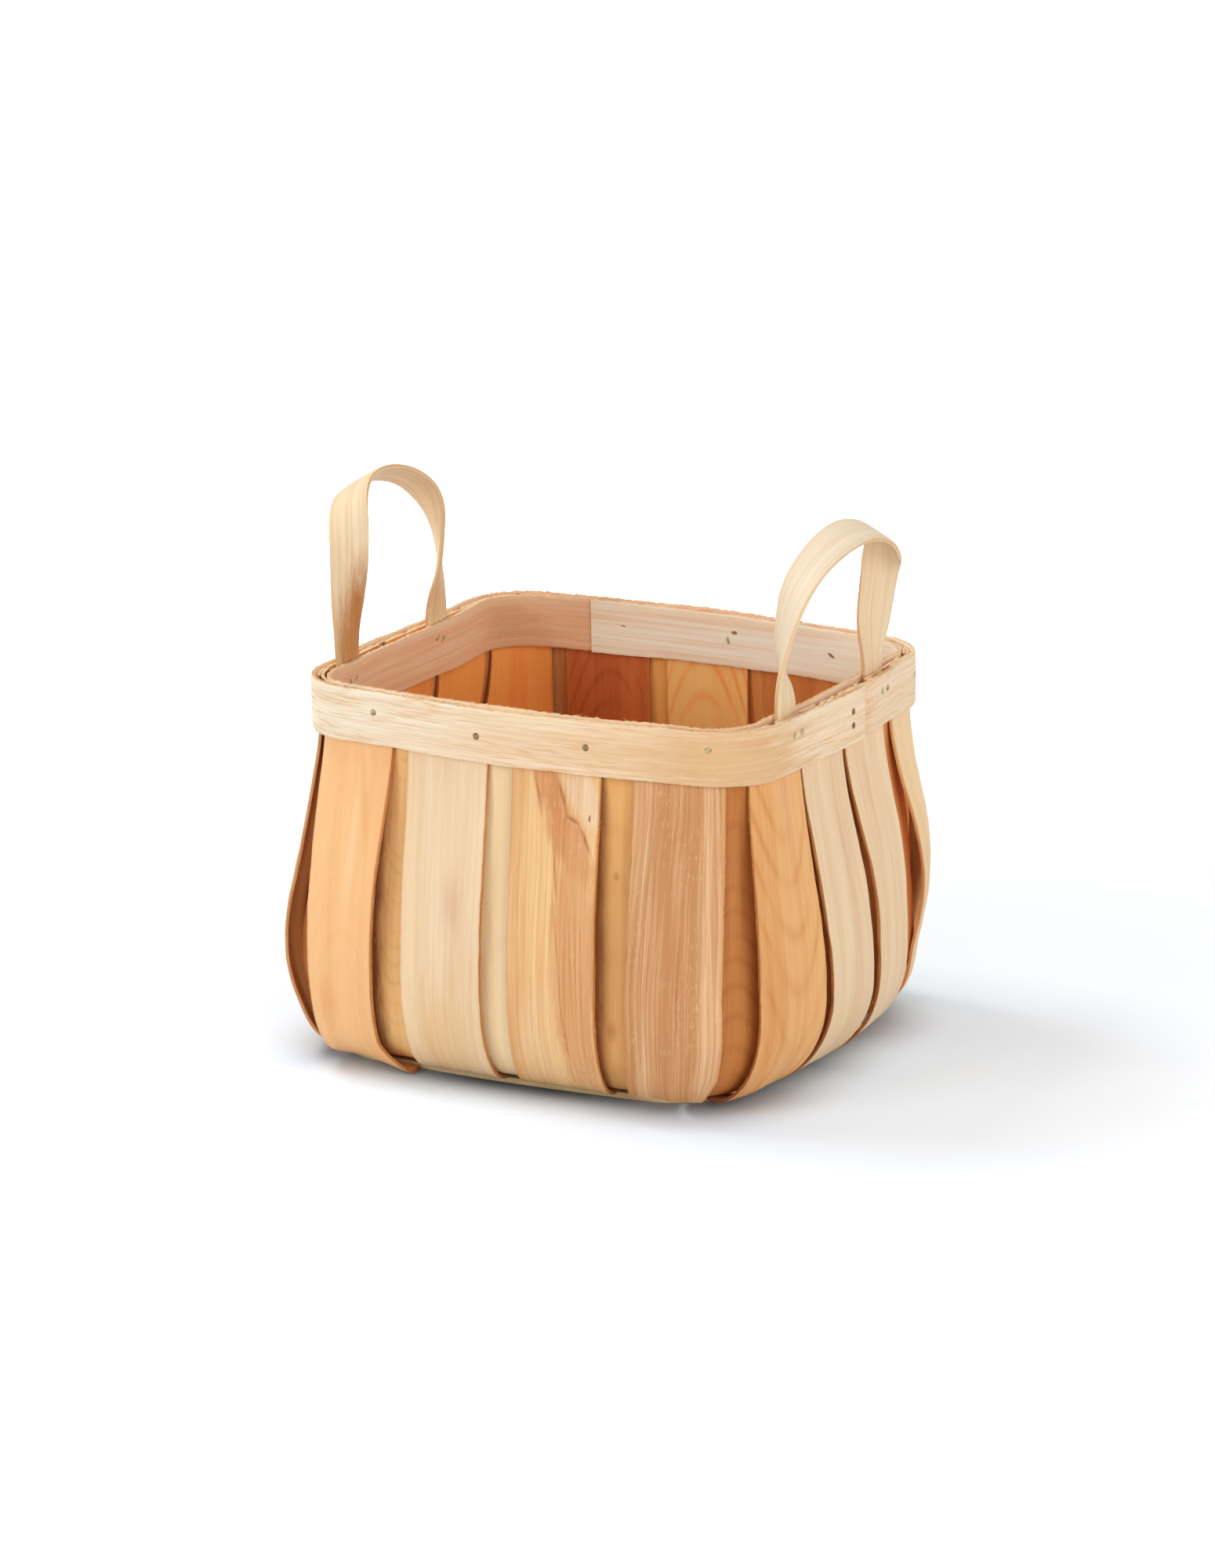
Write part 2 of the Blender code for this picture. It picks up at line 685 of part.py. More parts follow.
def rim_nail_places():
    """Where the rim's nails go: the way round and the height in shares of the band."""
    places = [(share * PERIMETER, height) for share, height in SINGLE_NAIL_SHARES]
    lap_edge = OUTER_LAP_SHARE * PERIMETER + LAP_LENGTH
    places += [(lap_edge - LAP_NAIL_INSET, height) for height in LAP_NAIL_SHARES]
    towards_front = (-1, -1, 1, 1)
    for place, sign in zip(leg_places(), towards_front):
        middle = place + sign * NAIL_PAIR_OFFSET
        places.append((middle - 0.5 * NAIL_PAIR, LEG_NAIL_SHARE))
        places.append((middle + 0.5 * NAIL_PAIR, LEG_NAIL_SHARE))
    return places


def make_nails(collection, holes):
    """The rim's nails and the four tacks through the stave feet."""
    outer_start = OUTER_LAP_SHARE * PERIMETER
    for number, (place, height_share) in enumerate(rim_nail_places(), 1):
        turns = math.floor((place - outer_start) / PERIMETER)
        place -= turns * PERIMETER
        if place < outer_start + LAP_LENGTH:
            place += PERIMETER
        face = BAND_SEAT + band_heights(place, outer_start, OUTER_BAND)[1]
        height = BAND_BOTTOM + BAND_HEIGHT * height_share
        point = rim_point(place, face, height)
        along = rim_point(place + SLIVER, face, height) - rim_point(place - SLIVER, face, height)
        outward = Vector((along.y, -along.x, 0)).normalized()
        inner_face = INNER_SEAT - leg_push(place)
        length = face - inner_face + INNER_BAND * NAIL_BITE_SHARE
        nail_with_hole(f"rim_nail_{number:02d}", collection, holes, point, outward, length)
    top = FLOOR_BOTTOM + FLOOR_BOARD
    foot = wall_rows()[-1]
    row = (BEND_RADIUS - TACK_INSET, top, foot[2], foot[3])
    length = top - BASE_BOARD + BASE_BOARD * TACK_BITE_SHARE
    for number, share in enumerate(TACK_SHARES, 1):
        point = wall_point(share * PERIMETER, row)
        nail_with_hole(f"floor_tack_{number}", collection, holes, point, Vector((0, 0, 1)), length)


def main():
    """Build the basket."""
    clear_scene()
    basket = new_collection("berry_basket")
    holes = new_collection("nail_holes")
    make_nails(basket, holes)
    make_staves(basket, holes)
    make_bands(basket, holes)
    make_handles(basket, holes)
    make_boards(basket, holes)
    bpy.context.view_layer.update()


main()
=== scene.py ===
# %% [markdown]
# # A berry basket of thin split wood
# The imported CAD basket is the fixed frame. Every visible piece below stands for one of its
# solids, in the same place and in metres, with the grain, edges and wear that wood has.

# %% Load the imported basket
import json
import math

import bmesh
import bpy
import numpy as np
from mathutils import Matrix, Vector

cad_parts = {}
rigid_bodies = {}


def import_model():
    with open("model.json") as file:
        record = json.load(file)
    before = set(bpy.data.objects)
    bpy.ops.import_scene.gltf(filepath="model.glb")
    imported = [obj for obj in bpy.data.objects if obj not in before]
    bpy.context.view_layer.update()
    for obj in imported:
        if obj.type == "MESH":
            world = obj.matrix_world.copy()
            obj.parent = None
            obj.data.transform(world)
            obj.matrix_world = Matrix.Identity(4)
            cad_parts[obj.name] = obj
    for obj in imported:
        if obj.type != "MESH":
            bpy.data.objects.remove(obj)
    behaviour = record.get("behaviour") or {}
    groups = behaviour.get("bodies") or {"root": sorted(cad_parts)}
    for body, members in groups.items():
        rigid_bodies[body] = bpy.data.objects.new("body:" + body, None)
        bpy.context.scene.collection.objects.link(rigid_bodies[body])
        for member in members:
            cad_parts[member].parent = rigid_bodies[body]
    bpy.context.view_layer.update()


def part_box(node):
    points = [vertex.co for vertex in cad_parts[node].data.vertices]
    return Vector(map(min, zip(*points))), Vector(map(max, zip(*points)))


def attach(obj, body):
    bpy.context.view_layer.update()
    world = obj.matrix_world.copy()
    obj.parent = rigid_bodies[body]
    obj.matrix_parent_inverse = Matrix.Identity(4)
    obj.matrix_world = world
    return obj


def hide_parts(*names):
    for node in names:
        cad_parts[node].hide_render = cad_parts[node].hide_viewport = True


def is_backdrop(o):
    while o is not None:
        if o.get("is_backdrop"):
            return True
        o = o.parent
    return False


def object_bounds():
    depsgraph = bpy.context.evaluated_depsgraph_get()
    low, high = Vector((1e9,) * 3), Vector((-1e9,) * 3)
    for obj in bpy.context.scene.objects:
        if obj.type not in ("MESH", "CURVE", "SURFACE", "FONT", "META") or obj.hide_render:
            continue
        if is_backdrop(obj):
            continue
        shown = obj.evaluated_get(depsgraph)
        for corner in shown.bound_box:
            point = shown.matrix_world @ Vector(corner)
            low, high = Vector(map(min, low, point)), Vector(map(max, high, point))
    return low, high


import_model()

for old in list(bpy.data.objects):
    if old.type in ("LIGHT", "CAMERA") or old.name in ("Cube", "Light", "Camera"):
        bpy.data.objects.remove(old, do_unlink=True)

# %% [markdown]
# ## The basket's sizes
# A basket maker bends the staves round a form, so everything follows from the form's shape:
# a rounded rectangle at the rim, a fuller belly and a smaller base. These are the form's sizes
# in metres, the same as the solids have. X runs along the long sides and -Y is the front.

# %% Sizes of the form, the veneer and the rim
RIM_LENGTH, RIM_WIDTH, RIM_CORNER = 0.250, 0.2154, 0.036
RIM_BOW_LONG, RIM_BOW_SHORT = 0.0062, 0.0036
RIM_TOP, RIM_DROP, BAND_HEIGHT = 0.190, 0.0048, 0.026
OUTER_BAND, INNER_BAND = 0.0028, 0.0026
LAP_LENGTH, LAP_LEAD, SKIVED_END, LAP_STEP = 0.030, 0.008, 0.0009, 0.0009
VENEER, GAP, STAVE_DROP = 0.0016, 0.0003, 0.0008
BELLY_SWELL, BELLY_HEIGHT, BELLY_BOW_LONG, BELLY_BOW_SHORT = 0.0152, 0.052, 0.003, 0.010
RIM_LEAN, BASE_LEAN = 0.0064, 0.0070
BASE_BOARD, FLOOR_BOARD, BASE_INSET, BASE_BOW = 0.003, 0.003, 0.0165, 0.003
BASE_ROUNDING, BASE_LIP, FLOOR_INSET = 0.018, 0.001, 0.002
SWELL_POWER, TUCK_POWER, FOOT_END_SHARE = 1.5, 2.2, 0.4
STAVE_COUNT, STAVE_WIDTH, EDGE_GAP = 16, 0.045, 0.001
INNER_STAVE_WIDTH, INNER_EDGE_GAP = 0.046, 0.006

QUARTER = math.pi / 2
CORE_X, CORE_Y = RIM_LENGTH / 2 - RIM_CORNER, RIM_WIDTH / 2 - RIM_CORNER
WAY_ROUND = 4 * CORE_X + 4 * CORE_Y + 4 * QUARTER * RIM_CORNER
PITCH = WAY_ROUND / STAVE_COUNT
BAND_BOTTOM = RIM_TOP - BAND_HEIGHT
LAYER = VENEER + GAP
BAND_SEAT = RIM_CORNER - OUTER_BAND
STAVE_RADIUS = BAND_SEAT - GAP - VENEER / 2
INNER_SEAT = STAVE_RADIUS - LAYER - VENEER / 2 - GAP
BEND_RADIUS = RIM_CORNER - BASE_INSET
FOOT_HEIGHT = BASE_BOARD + GAP + VENEER / 2
FLOOR_BOTTOM = FOOT_HEIGHT + LAYER + VENEER / 2 + GAP
print("way round the rim", round(WAY_ROUND, 4), "one stave every", round(PITCH, 4))

# %% [markdown]
# ## The outline round the basket
# A place on the basket is how far it is round the rim from the middle of the front. The outline
# there is a rectangle of corner centres pushed out by a radius, with the long and the short
# sides bowed a little. A function of that place keeps every ring of wood in step, and numpy
# works it out for a whole sheet at once.

# %% Outline and rim as functions
BOW_POWER = 1.3
BACK_RISE, RISE_DEPTH, RISE_END, RISE_SPAN, RISE_POWER = 0.0030, 0.1, 0.14, 0.2, 0.7
CORNERS = ((CORE_X, -CORE_Y), (CORE_X, CORE_Y), (-CORE_X, CORE_Y), (-CORE_X, -CORE_Y))


def outline(place, radius, bow_long, bow_short):
    """X and Y of the outline at places on the way round."""
    place, radius = np.broadcast_arrays((np.asarray(place, float) + CORE_X) % WAY_ROUND, radius)
    x, y = np.zeros(place.shape), np.zeros(place.shape)
    start = 0.0
    for side, corner in enumerate(CORNERS):
        before = CORNERS[side - 1]
        heading = (side - 1) * QUARTER
        length = math.dist(before, corner)
        share = np.clip((place - start) / length, 0, 1)
        bow = (1 - (2 * share - 1) ** 2) ** BOW_POWER * (bow_short if side % 2 else bow_long)
        on = (place >= start) & (place < start + length)
        x = np.where(on, before[0] + (corner[0] - before[0]) * share
                     + (radius + bow) * round(math.cos(heading)), x)
        y = np.where(on, before[1] + (corner[1] - before[1]) * share
                     + (radius + bow) * round(math.sin(heading)), y)
        start += length
        turn = heading + (place - start) / RIM_CORNER
        on = (place >= start) & (place < start + QUARTER * RIM_CORNER)
        x = np.where(on, corner[0] + radius * np.cos(turn), x)
        y = np.where(on, corner[1] + radius * np.sin(turn), y)
        start += QUARTER * RIM_CORNER
    return x, y


def blend(start, end, share):
    """Part of the way from one value to another."""
    return start + (end - start) * share


def ease(share):
    """Slow start and slow stop between 0 and 1."""
    share = np.clip(share, 0.0, 1.0)
    return share * share * (3 - 2 * share)


def settled(x, y, z):
    """Points of the basket: its rim slopes down to the right and is higher at the back left."""
    rise = BACK_RISE * ease(np.asarray(y) / RISE_DEPTH)
    rise = rise * np.clip((RISE_END - x) / RISE_SPAN, 0, 1) ** RISE_POWER
    lifted = z * (1 - RIM_DROP / RIM_LENGTH * x / RIM_TOP) + rise * (z / RIM_TOP) ** 3
    return np.stack(np.broadcast_arrays(x, y, lifted), -1)


def rim_point(place, radius, height):
    """Points on the rim, where the outline leans to the right."""
    x, y = outline(place, radius, RIM_BOW_LONG, RIM_BOW_SHORT)
    return settled(x + RIM_LEAN, y, height)


# %% [markdown]
# ## The wall from rim to foot
# Each stave goes straight down inside the bands, swells to the belly and tucks in under the
# base. One curve holds that for all of them: its radius, height, swell and tuck, by how far
# down the stave it is. A layer further in is the same curve moved along its own normal.

# %% The wall's curve and surface
CURVE_POINTS = 70


def wall_curve():
    """The outer staves' middle line: way down, radius, height, swell, tuck and inward normal."""
    share = np.linspace(0, 1, CURVE_POINTS)[1:]
    angle = QUARTER * share
    swell = np.sin(angle) ** SWELL_POWER
    radius, height = STAVE_RADIUS + BELLY_SWELL * swell, blend(BAND_BOTTOM, BELLY_HEIGHT, share)
    drop = np.sin(angle) ** (2 / TUCK_POWER)
    tuck = 1 - np.clip(np.cos(angle), 0, 1) ** (2 / TUCK_POWER)
    radius = np.r_[STAVE_RADIUS, STAVE_RADIUS, radius,
                   blend(STAVE_RADIUS + BELLY_SWELL, BEND_RADIUS, tuck),
                   BEND_RADIUS * FOOT_END_SHARE]
    height = np.r_[RIM_TOP - STAVE_DROP, BAND_BOTTOM, height,
                   blend(BELLY_HEIGHT, FOOT_HEIGHT, drop), FOOT_HEIGHT]
    swell = np.r_[0, 0, swell, 1 + 0 * tuck, 1]
    tuck = np.r_[0, 0, 0 * share, tuck, 1]
    down = np.r_[0, np.cumsum(np.hypot(np.diff(radius), np.diff(height)))]
    slope = np.stack([np.gradient(radius, down), np.gradient(height, down)])
    slope /= np.linalg.norm(slope, axis=0)
    return down, radius, height, swell, tuck, slope[1], -slope[0]


WALL = wall_curve()
WALL_LENGTH = WALL[0][-1]
FOOT_BEND = np.interp(0.999, WALL[4], WALL[0])


def wall_point(place, down, depth):
    """Points of the wall: place is the way round, depth is how far inside the outer staves."""
    radius, height, swell, tuck, inward, upward = (np.interp(down, WALL[0], row)
                                                   for row in WALL[1:])
    bow_long = blend(blend(RIM_BOW_LONG, BELLY_BOW_LONG, swell), BASE_BOW, tuck)
    bow_short = blend(blend(RIM_BOW_SHORT, BELLY_BOW_SHORT, swell), BASE_BOW, tuck)
    x, y = outline(place, radius + depth * inward, bow_long, bow_short)
    lean = blend(RIM_LEAN, 0.0, swell) - BASE_LEAN * tuck
    return settled(x + lean, y, height + depth * upward)


print("a stave is", round(WALL_LENGTH, 4), "long from top to foot end")

# %% [markdown]
# ## A thin sheet of wood
# Staves, bands and straps are all thin split wood. Each is built here as two faces with a
# slightly rounded rim between them, so the cut edge is real geometry that catches the light.
# The UV map holds metres across and along the grain, which lets one finish fit every piece,
# and a second map holds how far each point is from the edges.

# %% Small helpers for points and objects
EDGE_BULGE, BACK_SHIFT, BAND_BACK_SHIFT = 0.00022, 0.37, 0.41
ripples = np.random.default_rng(7)


def ripple(way, longest, octaves=4):
    """A smooth irregular line between about -1 and 1."""
    total = np.zeros(np.shape(way))
    for octave in range(octaves):
        phase = ripples.uniform(0, 2 * math.pi)
        wave = longest / 1.9 ** octave * ripples.uniform(0.8, 1.2)
        total = total + np.sin(2 * math.pi * way / wave + phase) / 1.6 ** octave
    return total / 1.8


def unit(vectors):
    """The same directions, each with a length of 1."""
    return vectors / np.linalg.norm(vectors, axis=-1, keepdims=True)


def lengths(points):
    """How far along a line of points each one is."""
    return np.r_[0, np.cumsum(np.linalg.norm(np.diff(points, axis=0), axis=1))]


def in_scene(name, data):
    """A new object in the scene."""
    made = bpy.data.objects.new(name, data)
    bpy.context.scene.collection.objects.link(made)
    return made


def paint_map(mesh, name, spots):
    """A UV map with one spot for each corner of each face."""
    mesh.uv_layers.new(name=name).data.foreach_set("uv", spots.astype(np.float32).ravel())


def finished(name, mesh, woods, kinds, sharp):
    """An object with a wood for each face, smooth but for corners sharper than some degrees."""
    for wood in woods:
        mesh.materials.append(wood)
    mesh.polygons.foreach_set("material_index", np.array(kinds, np.int32))
    mesh.shade_smooth()
    mesh.set_sharp_from_angle(angle=math.radians(sharp))
    return in_scene(name, mesh)


def settle_in(piece):
    """The piece stands for its solid, which it hides, and rides with the basket."""
    node = piece.name.split(".")[0]
    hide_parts(node)
    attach(piece, "root")


# %% Loose fibres on a cut edge
FIBRE_SIDES = (0.0, 2.094, 4.189)
FIBRE_RINGS = ((-0.15, 1.0), (0.3, 0.8), (0.65, 0.55), (1.0, 0.2))


def add_fibres(mesh, roots, ways, outs, longest, width):
    """Fine curved fibres that stand off an edge, each a closed taper of its own."""
    body = bmesh.new()
    body.from_mesh(mesh)
    made = []
    for root, way, out in zip(roots, ways, outs):
        way = way * ripples.choice((-1.0, 1.0))
        side = np.cross(way, out)
        length, bend = longest * ripples.uniform(0.35, 1.0), ripples.uniform(0.1, 0.9)
        rings = []
        for step, share in FIBRE_RINGS:
            centre = root + length * (way * step + out * bend * max(step, 0.0) ** 1.5)
            rings.append([body.verts.new(centre + width * share * (side * math.cos(turn)
                                                                   + out * math.sin(turn)))
                          for turn in FIBRE_SIDES])
        for one, two in zip(rings, rings[1:]):
            made += [body.faces.new((one[n - 1], one[n], two[n], two[n - 1])) for n in range(3)]
        made += [body.faces.new(rings[0][::-1]), body.faces.new(rings[-1])]
    for face in made:
        face.material_index, face.smooth = 2, True
    bmesh.ops.recalc_face_normals(body, faces=made)
    body.to_mesh(mesh)
    body.free()


# %% A thin sheet, with its grain map
def from_edges(middle, axis):
    """How far each point of a grid is from the nearer end along an axis."""
    steps = np.diff(middle, axis=axis, prepend=middle.take([0], axis))
    way = np.cumsum(np.linalg.norm(steps, axis=2), axis)
    return np.minimum(way, way.take([-1], axis) - way)


def thin_sheet(name, middle, thickness, across, along, woods, back_shift=BACK_SHIFT, frays=()):
    """A closed sheet round a grid; woods are face, back and cut edge; frays are fibres per side."""
    rows, columns = middle.shape[:2]
    down, right = (unit(np.gradient(middle, axis=axis)) for axis in (0, 1))
    normal = unit(np.cross(down, right))
    half = normal * np.broadcast_to(thickness, (rows, columns))[..., None] / 2
    index = np.arange(rows * columns).reshape(rows, columns)
    border = np.r_[index[0, :], index[1:, -1], index[-1, -2::-1], index[-2:0:-1, 0]]
    out = np.zeros(middle.shape)
    out[0] -= down[0]
    out[-1] += down[-1]
    out[:, 0] -= right[:, 0]
    out[:, -1] += right[:, -1]
    rim, out, leaning = (grid.reshape(-1, 3)[border] for grid in (middle, out, normal))
    nose = rim + out * EDGE_BULGE
    points = np.vstack([(middle + half).reshape(-1, 3), (middle - half).reshape(-1, 3), nose])
    cells = np.stack([index[:-1, :-1], index[1:, :-1], index[1:, 1:], index[:-1, 1:]], -1)
    cells, count = cells.reshape(-1, 4), index.size
    after, tip = np.roll(border, -1), 2 * count + np.arange(len(border))
    next_tip = np.roll(tip, -1)
    faces = np.vstack([cells, cells[:, ::-1] + count,
                       np.stack([border, after, next_tip, tip], -1),
                       np.stack([tip, next_tip, after + count, border + count], -1)])
    mesh = bpy.data.meshes.new(name)
    mesh.from_pydata(points.tolist(), [], faces.tolist())

    grain = np.stack(np.broadcast_arrays(across, along, index)[:2], -1).reshape(-1, 2)
    way = lengths(np.vstack([rim, rim[:1]]))
    ring = np.zeros((len(border), 4, 2))
    ring[:, 2:, 0] = VENEER / 2
    ring[..., 1] = np.stack([way[:-1], way[1:], way[1:], way[:-1]], -1)
    paint_map(mesh, "grain", np.vstack([grain[cells], grain[cells[:, ::-1]] + (0.0, back_shift),
                                        ring, ring + (VENEER / 2, 0.0)]))
    near = np.stack([from_edges(middle, 1), from_edges(middle, 0)], -1).reshape(-1, 2)
    paint_map(mesh, "edges", np.vstack([near, near, near[border]])[faces.ravel()])
    kinds = np.repeat((0, 1, 2), (len(cells), len(cells), 2 * len(border)))
    made = finished(name, mesh, woods, kinds, 38)

    spans = {"top": (0, columns), "right": (columns, columns + rows - 2),
             "bottom": (columns + rows - 1, 2 * columns + rows - 3),
             "left": (len(border) - rows + 2, len(border))}
    tangent = unit(np.roll(nose, -1, axis=0) - np.roll(nose, 1, axis=0))
    for side, number, longest, width in frays:
        spots = ripples.integers(*spans[side], number)
        lean = unit(out)[spots] + ripples.uniform(-0.5, 0.9, (number, 1)) * leaning[spots]
        add_fibres(mesh, nose[spots], tangent[spots], unit(lean), longest, width)
    return made


# %% [markdown]
# ## Shader groups for split wood
# Split wood shows long fibres, broad pale and dark bands from the growth rings, and on some
# pieces the nested arcs where the cut runs through the rings. One group makes all of them from
# the grain map, and each finish mixes them in its own shares. Other groups put in a stain,
# streak or strip of painted shade at a place, darken what lies near an edge, and scatter the
# short torn fibres that the splitting leaves. The sums are written with plain signs, and each
# sign adds a Math node.

# %% Helpers for shader nodes
class Value:
    """A node's output; a plain sign after it puts a Math node in its tree."""

    def __init__(self, socket):
        self.socket, self.tree = socket, socket.id_data

    def maths(self, operation, *others, clamp=False):
        """The result of a Math node."""
        inputs = {f"i{number}": value for number, value in enumerate((self, *others))}
        return put(self.tree, "Math", set_operation=operation, set_use_clamp=clamp, **inputs)[0]

    def __add__(self, other):
        return self.maths("ADD", other)

    def __sub__(self, other):
        return self.maths("SUBTRACT", other)

    def __mul__(self, other):
        return self.maths("MULTIPLY", other)

    def __truediv__(self, other):
        return self.maths("DIVIDE", other)


def outputs_of(node):
    """A node's outputs by number and by name."""
    values = [Value(socket) for socket in node.outputs]
    return {**dict(enumerate(values)), **{value.socket.name: value for value in values}}


def feed(node, **inputs):
    """Set a node's inputs, by name or as i and a number, or its settings, which start with set_."""
    for key, value in inputs.items():
        if key.startswith("set_"):
            setattr(node, key[4:], value)
            continue
        socket = node.inputs[int(key[1:]) if key[1:].isdigit() else key.replace("_", " ")]
        if isinstance(value, Value):
            value.tree.links.new(value.socket, socket)
        else:
            socket.default_value = value


def put(tree, kind, **inputs):
    """Add a shader node, feed it and give its outputs."""
    node = tree.nodes.new("ShaderNode" + kind)
    feed(node, **inputs)
    return outputs_of(node)


def split(vector):
    """A vector's X and Y; on the grain map these are across and along the grain."""
    place = put(vector.tree, "SeparateXYZ", Vector=vector)
    return place["X"], place["Y"]


def streaks(x, y, across, along, seed=0.0, detail=2.0, roughness=0.5):
    """Noise on the grain map with its own scale across and along the grain."""
    place = put(x.tree, "CombineXYZ", X=x * across, Y=y * along, Z=seed)[0]
    return put(x.tree, "TexNoise", Vector=place, Scale=1.0, Detail=detail,
               Roughness=roughness)["Fac"]


def remap(value, low, high, start=0.0, end=1.0, shape="SMOOTHSTEP"):
    """A value stretched from low and high to start and end."""
    return put(value.tree, "MapRange", set_interpolation_type=shape, Value=value, From_Min=low,
               From_Max=high, To_Min=start, To_Max=end)[0]


def mix(factor, first, second, kind="MIX"):
    """One colour over another."""
    return put(factor.tree, "Mix", set_data_type="RGBA", set_blend_type=kind, i0=factor,
               i6=first, i7=second)[2]


def shader_group(name, work, **inputs):
    """A shader group round a function from its inputs to named outputs; None is a vector."""
    tree = bpy.data.node_groups.new(name, "ShaderNodeTree")
    for label, value in inputs.items():
        kind = "NodeSocketVector" if value is None else "NodeSocketFloat"
        socket = tree.interface.new_socket(label.replace("_", " "), in_out="INPUT",
                                           socket_type=kind)
        if value is not None:
            socket.default_value = value
    results = work(outputs_of(tree.nodes.new("NodeGroupInput")))
    for label in results:
        tree.interface.new_socket(label, in_out="OUTPUT", socket_type="NodeSocketFloat")
    feed(tree.nodes.new("NodeGroupOutput"), **results)
    return tree


# %% What the groups work out
FULL_TURN = 6.2832


def grain_lines(start):
    """Fibres, growth bands and arcs from the grain map."""
    x, y = split(start["Grain Map"])
    x_bent = (streaks(x, y, 18, 9) - 0.5) * start["Wander"] + x
    fine = streaks(x_bent, y, 1500, 16, 3.1, 3.0, 0.62)
    thread = streaks(x_bent, y, 520, 7, 8.7, 2.0, 0.55)
    broad = streaks(x_bent, y, 95, 5, 5.3)
    lines = (remap(fine, 0.36, 0.68) + remap(thread, 0.40, 0.72)) * (start["Fibres"] * 0.62)
    bands = remap(broad, 0.36, 0.66) * start["Bands"]
    drift = streaks(x, y, 22, 12, 2.2, 0.0) * 0.030
    turns = (y - x * x * start["Arc Bow"] + drift) / start["Arc Spacing"]
    arcs = ((turns * FULL_TURN).maths("SINE") * 0.5 + 0.5).maths("POWER", 4.0)
    swell = streaks(x, y, 24, 26, 5.9, 1.0)
    arcs = arcs * remap(swell, 0.36, 0.62, 0.10, 1.0) * start["Arcs"]
    depth = (lines + bands).maths("ADD", arcs, clamp=True)
    return {"Depth": depth, "Height": fine * 0.8 - depth}


def stain_and_shade_mark(start):
    """A soft-edged mark at a place of the grain map, slanted and ragged."""
    x, y = split(start["Grain Map"])
    down = y - start["Along"]
    aside = (x - start["Across"] - down * start["Slant"]) / start["Width"]
    down = down / start["Length"]
    rag = (streaks(x, y, 330, 45, 1.7, 3.0, 0.6) - 0.5) * start["Ragged"]
    far = rag * 2.0 + (aside * aside + down * down).maths("SQRT")
    return {"Mask": remap(far, start["Soft"] * -1.0 + 1.0, 1.0, 1.0, 0.0)}


def near_edge(start):
    """How near a point is to a piece's edges, with a ragged limit."""
    side, end = split(start["Edge Map"])
    rag = (streaks(*split(start["Grain Map"]), 500, 120, 4.4) - 0.5) * start["Ragged"] + 1.0
    reach = start["Reach"] * rag
    return {"Side": remap(side / reach, 0.0, 1.0, 1.0, 0.0),
            "End": remap(end / reach, 0.0, 1.0, 1.0, 0.0)}


def torn_fibres(start):
    """Short raised fibres and tiny pits that splitting leaves on a face."""
    x, y = split(start["Grain Map"])
    mask = remap(streaks(x, y, 1900, 210, 6.1, 1.0), 0.58, 0.70)
    mask = mask * remap(streaks(x, y, 60, 22, 9.9), 0.42, 0.62) * start["Amount"]
    pores = streaks(x, y, 2600, 320, 7.3, 2.0, 0.6)
    return {"Mask": mask, "Height": mask + pores * 0.35}


def grain_flecks(start):
    """Short darker dashes along the grain, in drifts."""
    x, y = split(start["Grain Map"])
    dashes = remap(streaks(x, y, 1250, 60, 12.4, 1.5), 0.48, 0.66)
    drifts = remap(streaks(x, y, 90, 14, 3.9), 0.34, 0.62, 0.15, 1.0)
    return {"Mask": dashes * drifts * start["Amount"]}


# %% The groups themselves
GRAIN = shader_group("Wood Grain", grain_lines, Grain_Map=None, Fibres=0.5, Bands=0.5,
                     Arcs=0.0, Arc_Spacing=0.013, Arc_Bow=90.0, Wander=0.004)
STAIN_AND_SHADE = shader_group("Wood Stain", stain_and_shade_mark, Grain_Map=None, Across=0.0, Along=0.0,
                     Width=0.01, Length=0.03, Slant=0.0, Ragged=0.4, Soft=0.5)
NEAR_EDGE = shader_group("Near Edge", near_edge, Edge_Map=None, Grain_Map=None, Reach=0.002,
                         Ragged=0.6)
TORN = shader_group("Torn Fibres", torn_fibres, Grain_Map=None, Amount=0.5)
FLECKS = shader_group("Grain Flecks", grain_flecks, Grain_Map=None, Amount=0.62)
print("groups", [tree.name for tree in bpy.data.node_groups])

# %% [markdown]
# ## Finishes of the wood
# The wood is left bare, so each finish is the group's colour on a dry, slightly silky surface.
# A basket is split from several logs: some staves are cream, some honey, some tan. Each tone
# is written as the colour a painter would mix, then turned to the linear values Blender uses.
# A mark is a row of red, green, blue and strength, then its place across and along, its width
# and length in millimetres, its slant and how soft its edge is.

# %% Tones and the veneer finish
ROUGHNESS, EDGE_REACH = 0.58, 0.0012


def tone(colour):
    """A colour from 0 to 255 as Blender's linear values."""
    shares = [value / 255 for value in colour]
    return [s / 12.92 if s <= 0.04045 else ((s + 0.055) / 1.055) ** 2.4 for s in shares] + [1.0]


def new_material(name):
    """A material with its node tree and its Principled shader."""
    made = bpy.data.materials.new(name)
    made.use_nodes = True
    return made, made.node_tree, made.node_tree.nodes["Principled BSDF"]


